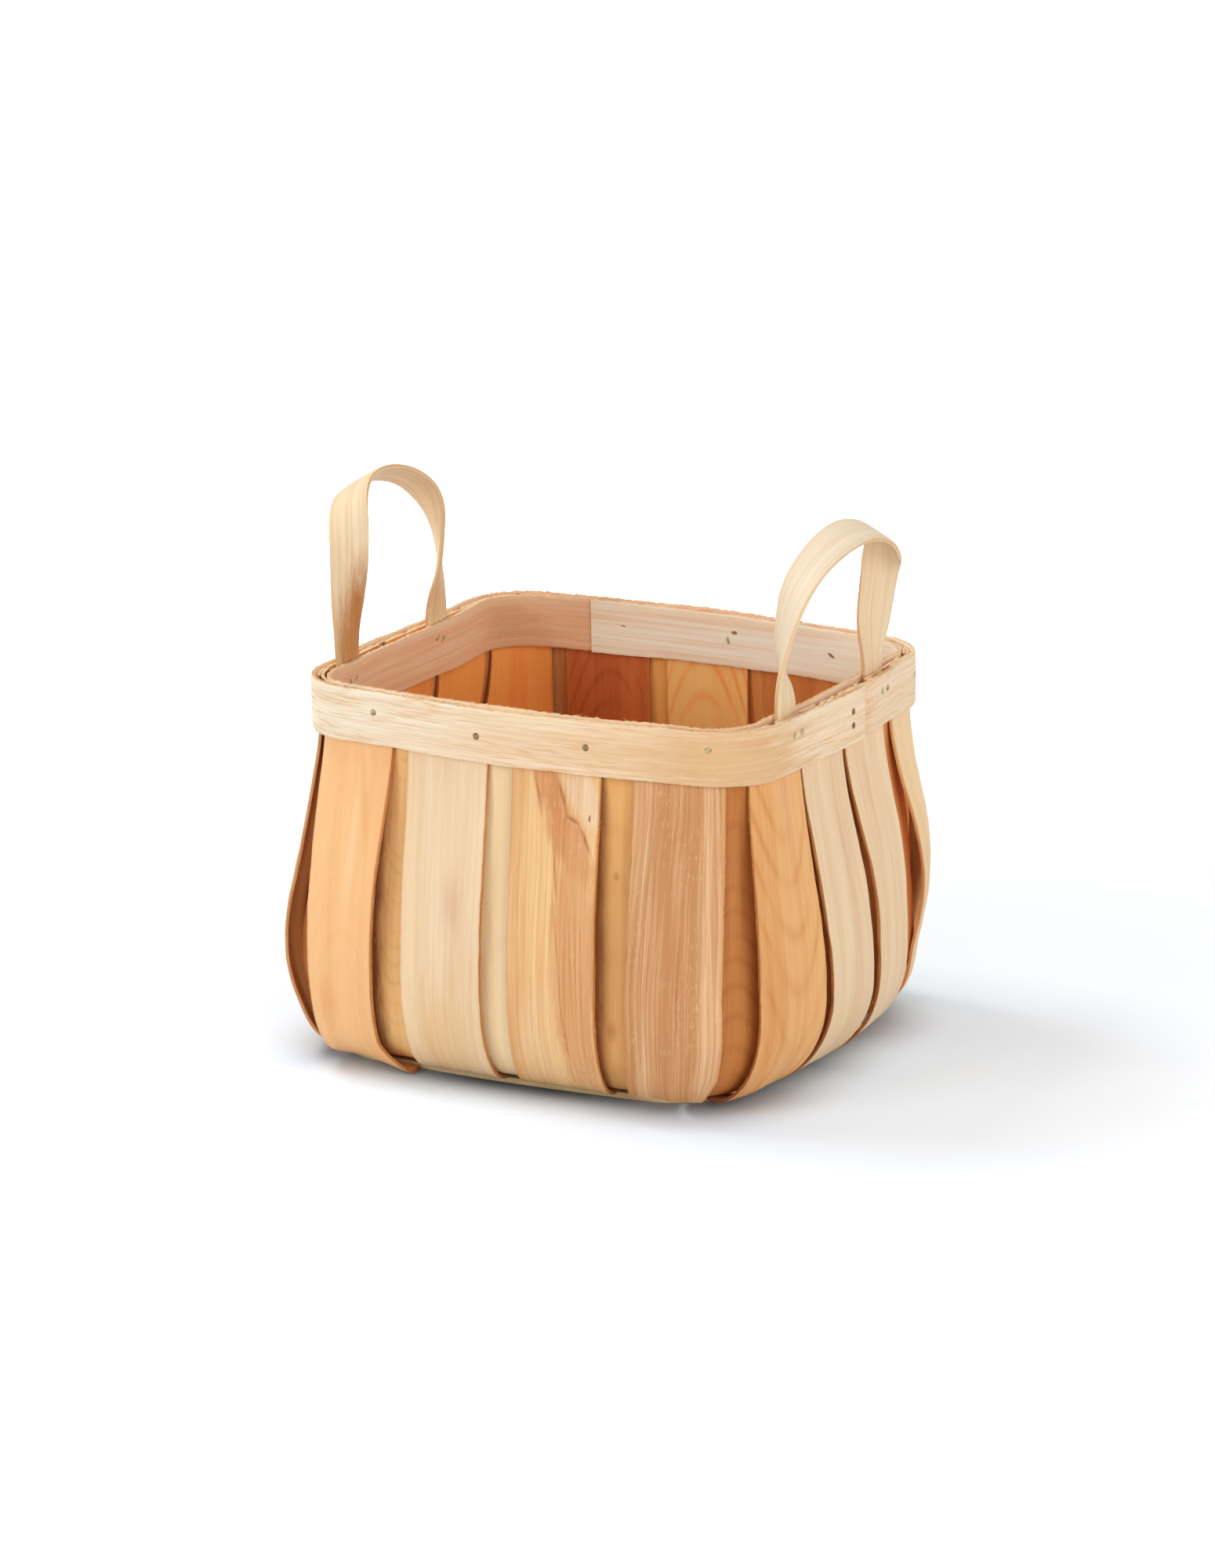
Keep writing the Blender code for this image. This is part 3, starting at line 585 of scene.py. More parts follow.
def veneer(name, pale, deep, fibres, bands, arcs=0.0, spacing=0.013, bow=90.0, wander=0.004,
           torn=0.4, edge=None, dashes=None, end_tone=None, origin=0.0, marks=()):
    """A bare wood finish: its tones, its shares of grain and its marks."""
    made, tree, shader = new_material(name)
    grain_map = put(tree, "UVMap", set_uv_map="grain")[0]
    grain = put(tree, "Group", set_node_tree=GRAIN, Grain_Map=grain_map, Fibres=fibres,
                Bands=bands, Arcs=arcs, Arc_Spacing=spacing, Arc_Bow=bow, Wander=wander)
    colour = pale = tone(pale)
    shade = [low / high for low, high in zip(tone(deep)[:3], pale)]
    usual = [1 - (0.30 * fibres + 0.42 * bands) * (1 - part) for part in shade]
    # a mark is a stain, streak or bruise of the wood, except the painted shade strips on two inner
    # staves
    for red, green, blue, strength, across, along, width, length, slant, soft in marks:
        stain_and_shade = put(tree, "Group", set_node_tree=STAIN_AND_SHADE, Grain_Map=grain_map,
                    Across=across / 1000, Along=along / 1000 + origin, Width=width / 1000,
                    Length=length / 1000, Slant=slant, Soft=soft)
        under = [min(1.0, part / grey) for part, grey in zip(tone((red, green, blue)), usual)]
        colour = mix(stain_and_shade["Mask"] * strength, colour, under + [1.0])
    colour = mix(grain["Depth"], colour, shade + [1.0], "MULTIPLY")
    if dashes:
        fleck = put(tree, "Group", set_node_tree=FLECKS, Grain_Map=grain_map)
        colour = mix(fleck["Mask"], colour, tone(dashes))
    fibre = put(tree, "Group", set_node_tree=TORN, Grain_Map=grain_map, Amount=torn)
    raised = [min(1.0, part * 1.12) for part in pale]
    colour = mix(fibre["Mask"] * 0.5, colour, raised)
    if edge or end_tone:
        edge_map = put(tree, "UVMap", set_uv_map="edges")[0]
        near = put(tree, "Group", set_node_tree=NEAR_EDGE, Edge_Map=edge_map,
                   Grain_Map=grain_map, Reach=EDGE_REACH)
        if edge:
            colour = mix(near["Side"] * 0.45, colour, tone(edge))
        if end_tone:
            colour = mix(near["End"], colour, tone(end_tone))
    bump = put(tree, "Bump", Strength=0.35, Distance=0.00012,
               Height=grain["Height"] + fibre["Height"] * 0.8)[0]
    rough = remap(grain["Height"], -0.6, 0.6, ROUGHNESS + 0.08, ROUGHNESS - 0.06)
    feed(shader, Base_Color=colour, Roughness=rough, Specular_IOR_Level=0.28, Normal=bump)
    return made


# %% Finishes for the cut edges, bands and straps
EDGE_TONE, END_TONE = (205, 138, 78), (240, 204, 158)
CUT_EDGE = veneer("cut_edge", (214, 142, 78), (160, 92, 44), 0.7, 0.5, torn=0.8, end_tone=END_TONE)
HONEY_EDGE = veneer("honey_edge", (250, 196, 134), (216, 146, 82), 0.6, 0.5, torn=0.5,
                    end_tone=END_TONE)
PALE_EDGE = veneer("pale_edge", (244, 214, 172), (212, 164, 114), 0.7, 0.5, torn=0.8)
BOARD_EDGE = veneer("board_edge", (255, 228, 178), (236, 192, 138), 0.6, 0.4, torn=0.5)
BAND_WOOD = veneer(
    "band_veneer", (251, 228, 196), (230, 190, 145), 0.5, 0.22, torn=0.25, wander=0.0006,
    dashes=(226, 172, 116), marks=(
        (234, 192, 142, 0.55, 0, 960, 30, 120, 0, 0.9),
        (218, 170, 116, 0.65, -4, 985, 30, 70, 0, 0.8),
        (236, 184, 132, 0.85, 0, 200, 30, 50, 0, 0.6),
        (252, 238, 214, 0.8, 3, 770, 30, 100, 0, 0.9)))
BAND_BACK = veneer(
    "band_inner_veneer", (255, 252, 235), (244, 208, 166), 0.66, 0.24, torn=0.3, wander=0.003,
    origin=BAND_BACK_SHIFT, marks=(
        (240, 190, 148, 0.92, 0, 560, 90, 260, 0, 0.25),
        (208, 152, 106, 0.6, 0, 555, 30, 34, 0, 0.9),
        (240, 204, 164, 0.7, 13, 600, 6, 150, 0, 0.8),
        (150, 92, 58, 0.9, 4.5, 1290, 1.1, 2.2, 0, 0.5),
        (170, 110, 70, 0.8, -2, 1190, 0.7, 3, 0.4, 0.5)))
STRAP_WOOD = veneer("strap_wood", (241, 225, 198), (222, 190, 149), 0.42, 0.24)
STRAP_BACK = veneer("strap_wood_outside", (244, 219, 182), (218, 178, 130), 0.36, 0.24, torn=0.5,
                    marks=((250, 232, 204, 0.9, 0, 300, 40, 60, 0, 0.9),))
LEFT_OUTSIDE = veneer("left_strap_wood", (252, 236, 206), (230, 196, 150), 0.5, 0.24,
                      marks=((244, 204, 152, 0.75, 0, 190, 40, 90, 0, 0.9),))
LEFT_INSIDE = veneer(
    "left_strap_inside", (246, 223, 187), (218, 178, 128), 0.44, 0.22, torn=0.6,
    origin=BACK_SHIFT, marks=(
        (244, 206, 154, 0.7, 0, 190, 40, 100, 0, 0.9),
        (192, 128, 68, 1, 5, 48, 13, 36, 0, 0.9),
        (206, 144, 84, 0.95, 1, 28, 18, 32, 0, 0.8),
        (222, 176, 122, 0.6, 0.5, 60, 0.6, 50, 0.02, 0.9)))
print("finishes", len(bpy.data.materials))

# %% [markdown]
# ## Outer staves
# Sixteen strips of veneer stand round the basket. None is at a regular place, so each has its
# own middle at rim, belly and foot, and its own width, read from how the solids lie. A real
# stave stays flat across while the basket curves, so its edges stand off the wall a little,
# and its long edges wander where the wood split.

# %% Where the staves run
FIRST_STAVE_SHARE = -1.62
OUTER_STAVES = (
    (0.00, 0.11, 0.13, 1.02, 0.78, "honey"),
    (0.00, 0.12, 0.23, 1.00, 1.00, "cream"),
    (0.08, 0.22, 0.28, 1.02, 1.05, "honey"),
    (0.23, 0.30, 0.28, 1.04, 0.90, "tan"),
    (0.29, 0.31, 0.16, 0.97, 0.95, "honey"),
    (0.08, 0.14, -0.05, 0.92, 0.86, "cream"),
    (-0.06, 0.00, -0.16, 1.11, 0.96, "cream"),
    (0.02, 0.40, 0.28, 0.98, 0.95, "straw"),
    (0.14, 0.12, 0.02, 1.00, 1.02, "honey"),
    (0.16, 0.10, 0.06, 1.02, 0.96, "tan"),
    (0.19, 0.16, 0.20, 0.98, 1.00, "straw"),
    (0.24, 0.20, 0.12, 1.00, 0.98, "cream"),
    (0.10, 0.14, 0.08, 0.96, 1.02, "honey"),
    (0.02, -0.04, 0.04, 1.00, 0.96, "straw"),
    (-0.06, -0.02, -0.08, 1.02, 1.00, "tan"),
    (-0.10, -0.04, 0.02, 0.98, 0.94, "honey"),
)
GRAIN_STEP, INNER_FROM = 0.9, 20


def outer_middle(index, level):
    """An outer stave's middle on the way round, at rim, belly or foot."""
    return (FIRST_STAVE_SHARE + index + OUTER_STAVES[index % STAVE_COUNT][level]) * PITCH


def outer_edges(index, level):
    """An outer stave's two edges, which leave room for both neighbours."""
    middle = outer_middle(index, level)
    half = STAVE_WIDTH * OUTER_STAVES[index % STAVE_COUNT][3 if level == 0 else 4] / 2
    left = (middle - outer_middle(index - 1, level) - EDGE_GAP) / 2
    right = (outer_middle(index + 1, level) - middle - EDGE_GAP) / 2
    if index % STAVE_COUNT == 0:
        left = min(left, half)
    return middle - min(half, left), middle + min(half, right)


def inner_edges(index, level):
    """The edges of the inner stave behind the gap after an outer stave."""
    middle = (outer_edges(index, level)[1] + outer_edges(index + 1, level)[0]) / 2
    low = outer_middle(index, level) + INNER_EDGE_GAP / 2
    high = outer_middle(index + 1, level) - INNER_EDGE_GAP / 2
    return max(middle - INNER_STAVE_WIDTH / 2, low), min(middle + INNER_STAVE_WIDTH / 2, high)


for level in range(3):
    print("first stave's edges", level, [round(v, 4) for v in outer_edges(0, level)])

# %% [markdown]
# ### A finish for each stave
# The staves at the front are each drawn from the real ones: smooth honey, cream with a yellow
# border and a mauve bruise, honey with a brown heartwood streak, tan with straight lines and
# torn fibres, and one cut through its growth rings so that nested arcs show. A mark's place is
# across from the stave's middle and down from its top.

# %% Finishes of the outer staves
OUTER_TONES = (
    ((251, 198, 140), (240, 174, 110), 0.16, 0.4, dict(arcs=0.1, torn=0.15, marks=(
        (236, 168, 100, 0.5, 9, 60, 4, 30, 0.1, 0.9),
        (252, 208, 154, 0.6, 2, 80, 4, 45, -0.08, 0.9),
        (234, 164, 100, 0.5, -10, 155, 6, 20, 0, 0.9)))),
    ((245, 218, 180), (231, 192, 146), 0.42, 0.4, dict(marks=(
        (245, 215, 172, 0.65, -19.5, 100, 6.5, 300, 0, 0.35),
        (222, 176, 146, 0.55, 6, 98, 11, 26, 0.05, 0.98),
        (232, 190, 150, 0.45, 12, 125, 11, 36, 0, 0.98),
        (230, 186, 132, 0.75, 0, 170, 30, 60, 0, 0.9)))),
    ((247, 207, 150), (222, 160, 98), 0.55, 0.36, dict(torn=0.6, marks=(
        (225, 168, 118, 0.6, -21.5, 100, 3.4, 300, 0, 0.6),
        (242, 206, 168, 0.8, 14, 36, 10.5, 20, 0.5, 0.4),
        (214, 148, 92, 0.9, -3, 32, 8.8, 22, 0.28, 0.5),
        (216, 150, 96, 0.85, 7.5, 58, 12.5, 26, 0.5, 0.5),
        (220, 158, 104, 0.75, 12, 115, 14, 85, 0.02, 0.35),
        (172, 98, 54, 0.85, 3.6, 37, 1.7, 14, 0.285, 0.95),
        (172, 98, 54, 0.8, 9.5, 48, 3.4, 3, 1.5, 0.95),
        (176, 104, 60, 0.85, 16.4, 57, 1.7, 11.5, 0.53, 0.95),
        (184, 112, 64, 0.8, -8.8, 37, 1.5, 15, 0.18, 0.95),
        (186, 118, 72, 0.7, 1, 75, 1, 30, 0.1, 0.95),
        (190, 124, 78, 0.6, 13, 110, 0.9, 50, 0.03, 0.95),
        (194, 128, 80, 0.6, 16.5, 130, 0.8, 50, 0.02, 0.95),
        (194, 128, 80, 0.6, 3.5, 120, 0.9, 40, 0.09, 0.95),
        (146, 70, 34, 0.95, 18.1, 46.5, 0.7, 2.2, 0, 0.4),
        (206, 140, 84, 0.7, 6.5, 150, 1, 30, 0.12, 0.8),
        (206, 144, 90, 0.6, 10.5, 120, 0.9, 50, 0.06, 0.8),
        (244, 208, 164, 0.6, -10, 160, 11, 45, 0, 0.9)))),
    ((232, 182, 132), (200, 140, 88), 0.85, 0.6, dict(torn=1, wander=0.0012, marks=(
        (240, 208, 170, 0.55, -15, 110, 1.2, 140, 0, 0.9),
        (240, 206, 168, 0.5, -11.2, 120, 0.9, 120, 0.01, 0.9),
        (186, 124, 76, 0.55, -17.2, 120, 0.8, 120, 0, 0.9),
        (188, 128, 80, 0.55, -9.4, 130, 0.8, 120, 0, 0.9),
        (202, 142, 88, 0.65, 1.5, 45, 5, 22, 0, 0.7),
        (190, 126, 78, 0.45, 4, 120, 1.2, 60, 0, 0.9),
        (232, 186, 142, 0.6, 15, 100, 6, 140, 0, 0.6)))),
    ((241, 184, 120), (212, 138, 72), 0.3, 0.3,
     dict(arcs=0.42, spacing=0.026, bow=-95, wander=0.008, marks=(
        (232, 184, 140, 0.5, 8, 45, 8, 30, 0, 0.9),
        (226, 156, 92, 0.4, -14, 130, 6, 60, 0, 0.9)))),
    ((244, 216, 178), (230, 190, 146), 0.45, 0.45, dict(marks=(
        (226, 182, 146, 0.5, 6, 70, 3, 60, 0, 0.9),))),
    ((250, 222, 184), (236, 196, 150), 0.45, 0.45, dict(marks=(
        (228, 186, 150, 0.5, -4, 50, 5, 50, 0, 0.9),))),
    ((250, 216, 168), (236, 188, 132), 0.3, 0.4),
    ((246, 206, 154), (230, 176, 116), 0.3, 0.45, dict(arcs=0.3)),
    ((238, 166, 96), (206, 126, 62), 0.8, 0.6, dict(torn=0.9)),
    ((255, 200, 114), (246, 158, 78), 0.4, 0.5, dict(marks=(
        (236, 176, 112, 0.6, -6, 60, 7, 50, 0.2, 0.7),))),
    ((224, 160, 100), (196, 124, 68), 0.42, 0.45),
    ((226, 158, 94), (200, 124, 62), 0.2, 0.4, dict(arcs=0.5, spacing=0.016)),
    ((234, 176, 116), (208, 140, 82), 0.4, 0.5),
    ((226, 178, 130), (192, 134, 86), 0.75, 0.6, dict(torn=0.8)),
    ((244, 192, 134), (222, 158, 96), 0.3, 0.45),
)


def stave_finishes(kind, rows, first):
    """A finish for each row of tones, fibres, bands and what else is its own."""
    return [veneer(f"{kind}_veneer_{number + 1:02d}", *row[:4], edge=EDGE_TONE,
                   origin=GRAIN_STEP * (first + number), **dict(*row[4:]))
            for number, row in enumerate(rows)]


OUTER_FINISHES = stave_finishes("outer", OUTER_TONES, 0)

# %% Finishes of the inner staves
INNER_TONES = (
    ((255, 207, 138), (238, 168, 98), 0.3, 0.3,
     dict(arcs=0.3, spacing=0.009, bow=-160, wander=0.008, marks=(
        # painted shade: the dark brown strip under the first outer stave's right edge
        (112, 56, 26, 0.9, -13, 100, 9, 400, 0, 0.9),))),
    ((255, 230, 184), (242, 202, 150), 0.35, 0.4),
    ((240, 182, 112), (218, 146, 80), 0.15, 0.4, dict(arcs=0.2, torn=0.1, spacing=0.03, marks=(
        (176, 120, 66, 0.6, -1, 73, 2.2, 3, 0, 0.9),
        (186, 122, 66, 0.5, -2, 150, 4, 8, 0, 0.9),
        # painted shade: the dark brown strip under the third outer stave's right edge
        (132, 72, 34, 0.8, -10.5, 100, 6.2, 400, 0, 0.9)))),
    ((214, 138, 70), (180, 104, 44), 0.3, 0.5, dict(arcs=0.3)),
    ((222, 156, 98), (186, 116, 62), 0.4, 0.5),
    ((226, 160, 98), (196, 126, 68), 0.35, 0.5),
    ((228, 150, 84), (196, 112, 54), 0.3, 0.5),
    ((236, 172, 104), (214, 142, 78), 0.25, 0.5),
    ((222, 142, 74), (196, 112, 52), 0.3, 0.5),
    ((255, 205, 128), (250, 156, 72), 0.15, 0.25, dict(arcs=0.7, spacing=0.02, wander=0.012)),
    ((214, 120, 62), (180, 86, 38), 0.25, 0.4, dict(arcs=0.35, spacing=0.018)),
    ((255, 174, 92), (250, 148, 66), 0.35, 0.5),
    ((255, 176, 94), (250, 152, 68), 0.35, 0.5),
    ((255, 172, 94), (246, 148, 70), 0.35, 0.5),
    ((224, 152, 94), (198, 122, 68), 0.35, 0.5),
    # the last inner stave's dark tone also paints the shade of the deep gap beside the first outer
    # stave
    ((190, 112, 60), (150, 80, 38), 0.35, 0.5),
)
INNER_FINISHES = stave_finishes("inner", INNER_TONES, INNER_FROM)
print("stave finishes", len(OUTER_FINISHES) + len(INNER_FINISHES))

# %% [markdown]
# A stave is a grid of points on the wall between its two edges. Rows lie closer together where
# the foot bends. Adding a small stand-off that grows towards the edges keeps it flat across.

# %% Where staves lie inside the even wall
PULLS = {6: ((-0.0012, 0.086, 0.026),), 7: ((-0.0030, 0.092, 0.030), (0.0042, 0.152, 0.020)),
         12: ((0.0008, 0.172, 0.026),), 13: ((0.0006, 0.088, 0.034), (0.0016, 0.172, 0.026)),
         14: ((0.0016, 0.088, 0.034), (0.0030, 0.172, 0.026)),
         15: ((0.0029, 0.088, 0.034), (0.0036, 0.172, 0.026))}
BELLY_POWER = 0.8


def pulled(index, down):
    """How far a stave lies inside the even wall; each pull is (depth, place down, reach)."""
    return sum(pull * np.exp(-((down - middle) / reach) ** 2)
               for pull, middle, reach in PULLS.get(index, ()))


def belly_share(down):
    """0 at the rim and the foot bend, 1 between."""
    share = np.clip((down - BAND_HEIGHT) / (FOOT_BEND - BAND_HEIGHT), 0, 1)
    return np.sin(math.pi * share) ** BELLY_POWER


# %% One stave
STAVE_ROWS, STAVE_COLUMNS, BEND_ROWS, BEND_START = 84, 16, 30, 0.62
EDGE_WANDER, EDGE_ROUGH, FACE_WAVE = 0.00022, 0.00007, 0.0004
TOP_RAGGED, TOP_TORN, TOP_UNEVEN, TOP_REACH = 0.0005, 0.0004, 0.0009, 0.02
LOWEST_MIDDLE = VENEER / 2 + 0.0003
STAVE_FRAYS = (("top", 9, 0.0022, 0.00028), ("left", 5, 0.0026, 0.00013),
               ("right", 5, 0.0026, 0.00013))
ROW_DOWN = np.unique(np.r_[np.linspace(0, WALL_LENGTH, STAVE_ROWS),
                           np.linspace(WALL_LENGTH * BEND_START, FOOT_BEND + 0.004, BEND_ROWS)])


def stave(name, index, edges, depth, stand_off, woods, reshape=None):
    """A strip of veneer on the wall between its edges at rim, belly and foot."""
    down = ROW_DOWN[:, None]
    swell, tuck = (np.interp(down, WALL[0], WALL[row]) for row in (3, 4))
    side = [blend(blend(edges[0][end], edges[1][end], swell), edges[2][end], tuck)
            for end in (0, 1)]
    side = [edge + EDGE_WANDER * ripple(down, 0.13, 2) + EDGE_ROUGH * ripple(down, 0.006)
            for edge in side]
    share = np.sort(np.r_[np.linspace(0, 1, STAVE_COLUMNS), 0.012, 0.988])[None, :]
    place = side[0] + (side[1] - side[0]) * share
    bulge = belly_share(down)
    lift = np.where(share < 0.5, stand_off[0], stand_off[1]) * (2 * share - 1) ** 2 * bulge
    lift = lift + FACE_WAVE * bulge * ripple(down + 0.3 * share, 0.11)
    lift = lift - pulled(index % INNER_FROM, down)
    down = down + 0 * share
    if reshape:
        place, down, lift = reshape(place, down, lift, share)
    ragged = TOP_RAGGED * ripple(share * 0.04, 0.009) + TOP_TORN * ripple(share * 0.04, 0.0035)
    ragged = ragged + TOP_UNEVEN * ripples.uniform(-0.9, 0.5)
    middle = wall_point(place, down + np.clip(1 - down / TOP_REACH, 0, 1) * ragged, depth - lift)
    middle[..., 2] = np.maximum(middle[..., 2], LOWEST_MIDDLE)
    across = (share - 0.5) * (side[1] - side[0])
    return thin_sheet(name, middle, VENEER, across, down + GRAIN_STEP * index, woods,
                      frays=STAVE_FRAYS)


# %% Shape of two feet that lie apart from the rest
CURL_LENGTH, CURL_ASIDE, CURL_OUT = 0.030, 0.014, 0.0042
CUT_OFF, CUT_BEND, CUT_NARROW, CUT_OUT = 0.0165, 0.022, 0.0042, 0.0020


def curled_foot(place, down, lift, share):
    """The first stave's right corner sags out under its neighbour instead of lying flat."""
    near = ease((down - (FOOT_BEND - CURL_LENGTH)) / 0.024)
    corner = ease((share - 0.45) / 0.55)
    return place + CURL_ASIDE * near * corner, down, lift + CURL_OUT * near * corner


def cut_foot(place, down, lift, share):
    """The fourth stave is cut short, and its end stands in front of the base board."""
    stop = FOOT_BEND - CUT_OFF
    kept = down / WALL_LENGTH * stop
    near = ease((kept - stop + CUT_BEND) / CUT_BEND)
    corner = ease((share - 0.80) / 0.20) * np.clip((kept - stop + 0.014) / 0.014, 0, 1)
    return place - CUT_NARROW * corner, kept, lift + CUT_OUT * near


RESHAPED = {0: curled_foot, 3: cut_foot}
STAND_OFF = {0: (0.0012, 0.0052), 1: (0.0002, 0.0022), 2: (0.0002, 0.0034), 3: (0.0010, 0.0006),
             4: (0.0026, 0.0008), 5: (0.0016, 0.0006), 6: (0.0016, 0.0008), 7: (0.0002, 0.0008),
             15: (0.0008, 0.0010)}
USUAL_STAND_OFF, USUAL_SINK, PALE_EDGED = (0.0012, 0.0012), 0.003, (7, 15)
INNER_SINK = {0: 0.0036, 1: 0.0016, 2: 0.0034, 3: 0.0058, 4: 0.0050, 5: 0.0050, 6: 0.0058,
              7: 0.0060, 15: 0.0064}

# %% All the outer staves
for index in range(STAVE_COUNT):
    finish = OUTER_FINISHES[index]
    piece = stave(f"outer_stave_{index + 1:02d}.veneer", index,
                  [outer_edges(index, level) for level in range(3)], 0.0,
                  STAND_OFF.get(index, USUAL_STAND_OFF),
                  (finish, finish, HONEY_EDGE if index in PALE_EDGED else CUT_EDGE),
                  RESHAPED.get(index))
    settle_in(piece)
print("outer staves", STAVE_COUNT)

# %% [markdown]
# ## Inner staves
# A second layer backs the gaps of the first. On the real basket it is bent over the same form
# but lies a little looser, so it sinks away from the outer layer at the belly and the gaps
# show as shadows. Two of them also have painted shade: a dark brown strip along the part
# that an outer edge overhangs.

# %% All the inner staves
def sunk_by(amount):
    """A change of shape that lays an inner stave deeper at the belly."""
    return lambda place, down, lift, share: (place, down, lift - amount * belly_share(down))


for index in range(STAVE_COUNT):
    finish = INNER_FINISHES[index]
    piece = stave(f"inner_stave_{index + 1:02d}.veneer", index + INNER_FROM,
                  [inner_edges(index, level) for level in range(3)], LAYER, (0.0, 0.0),
                  (finish, finish, CUT_EDGE), sunk_by(INNER_SINK.get(index, USUAL_SINK)))
    settle_in(piece)
print("inner staves", STAVE_COUNT)

# %% [markdown]
# ## Rim bands
# Two bands clamp the stave tops between them. Each is one long strip bent once round, with
# its two ends thinned and lapped. A closed sheet that follows the rim, with its thickness
# changing at the lap, is the same thing in mesh form.

# %% Where the straps push the inner band in
HANDLE_WIDTH, HANDLE_THICKNESS, LEG_CLEARANCE, LEG_LIFT = 0.019, 0.0028, 0.0005, 0.002
LEFT_SPREAD, RIGHT_SPREAD, LEFT_OFFSET, RIGHT_OFFSET = 0.091, 0.0955, -0.0140, -0.0078
OUTER_LAP_SHARE, INNER_LAP_SHARE, LAP_RAMP = 0.2262, 0.542, 1.2 * LAP_LENGTH


def leg_places():
    """The strap legs' middles on the way round: right front, right back, left back, left front."""
    right = CORE_X + QUARTER * RIM_CORNER + CORE_Y + RIGHT_OFFSET
    left = right - RIGHT_OFFSET + WAY_ROUND / 2 - LEFT_OFFSET
    return (right - RIGHT_SPREAD / 2, right + RIGHT_SPREAD / 2,
            left - LEFT_SPREAD / 2, left + LEFT_SPREAD / 2)


def leg_push(place):
    """How far the strap legs push the inner band into the basket."""
    push, legs = np.zeros(np.shape(place)), leg_places()
    for first, second in (legs[:2], legs[2:]):
        low, high = first - HANDLE_WIDTH / 2 - LEG_CLEARANCE, second + HANDLE_WIDTH / 2
        near = (place - low + WAY_ROUND / 2) % WAY_ROUND - WAY_ROUND / 2
        beyond = np.maximum(np.maximum(-near, near - (high + LEG_CLEARANCE - low)), 0)
        push = np.maximum(push, ease(1 - beyond / (2 * HANDLE_WIDTH)))
    return push * (HANDLE_THICKNESS + LEG_CLEARANCE)


# %% One band with its lap
BAND_POINTS, EDGE_THINNING, END_STEP = 640, 0.30, 0.0004
TOP_WAVE, BOTTOM_WAVE, BAND_ROUGH, BAND_FUZZ, BAND_WAVE = 0.0003, 0.0004, 0.00012, 0.00016, 0.00015
BAND_ROWS = np.array((0, 0.012, 0.035, 0.09, 0.2, 0.35, 0.5, 0.65, 0.8, 0.91, 0.965, 0.988, 1))


def band_faces(place, start, thickness):
    """A band's near and far face above its seat: thinned where it starts, lifted at its end."""
    along = place - start
    over = along - WAY_ROUND

    def under(way):
        return blend(SKIVED_END, thickness, np.minimum(way / LAP_RAMP, 1.0))

    top = thickness + LAP_STEP * (over + LAP_LEAD) / (LAP_LENGTH + LAP_LEAD)
    near = np.where(over < -LAP_LEAD, 0.0, np.where(
        over < 0.0, (SKIVED_END + GAP) * (1 + over / LAP_LEAD), under(over) + GAP))
    return near, np.where(over < -LAP_LEAD, under(along), top)


def band(name, start, seat, thickness, outward, pushed, woods):
    """A strip once round the rim, its ends lapped."""
    place = np.linspace(start, start + WAY_ROUND + LAP_LENGTH, BAND_POINTS)
    place = np.sort(np.r_[place, start + END_STEP, place[-1] - END_STEP])
    near, far = band_faces(place, start, thickness)
    foot = seat - (leg_push(place) if pushed else 0.0)
    rounding = 1 - EDGE_THINNING * np.abs(2 * BAND_ROWS - 1) ** 18
    top = RIM_TOP + TOP_WAVE * ripple(place, 0.14) + BAND_ROUGH * ripple(place, 0.008)
    top = top + BAND_FUZZ * ripples.normal(size=len(place))
    bottom = BAND_BOTTOM + BOTTOM_WAVE * ripple(place, 0.16) + BAND_ROUGH * ripple(place, 0.009)
    height = blend(top[None, :], bottom[None, :], BAND_ROWS[:, None])
    radius = foot + outward * (near + far) / 2 + BAND_WAVE * ripple(place, 0.05)
    middle = rim_point(place[None, :] + 0 * height, radius[None, :], height)
    thick = (far - near)[None, :] * rounding[:, None]
    return thin_sheet(name, middle, thick, height - BAND_BOTTOM - BAND_HEIGHT / 2,
                      place[None, :] + 0 * height, woods, back_shift=BAND_BACK_SHIFT,
                      frays=(("top", 90, 0.0030, 0.00016), ("bottom", 60, 0.0028, 0.00012)))


outer_band = band("outer_band.wood", OUTER_LAP_SHARE * WAY_ROUND, BAND_SEAT, OUTER_BAND, 1, False,
                  (BAND_WOOD, BAND_BACK, PALE_EDGE))
settle_in(outer_band)
inner_band = band("inner_band.wood", INNER_LAP_SHARE * WAY_ROUND, INNER_SEAT, INNER_BAND, -1, True,
                  (BAND_WOOD, BAND_BACK, PALE_EDGE))
settle_in(inner_band)
print("bands", [len(b.data.polygons) for b in (outer_band, inner_band)], "faces")

# %% [markdown]
# ## Strap handles
# A strap starts flat between the inner staves and the inner band, rises, twists as it bends
# over, and comes down the same way. Wood that is steamed and bent like this keeps its width but
# rolls, with the edge towards the basket higher at the top. So the strap is given by a few
# points of its middle line and the direction across it at each, joined by a smooth curve.

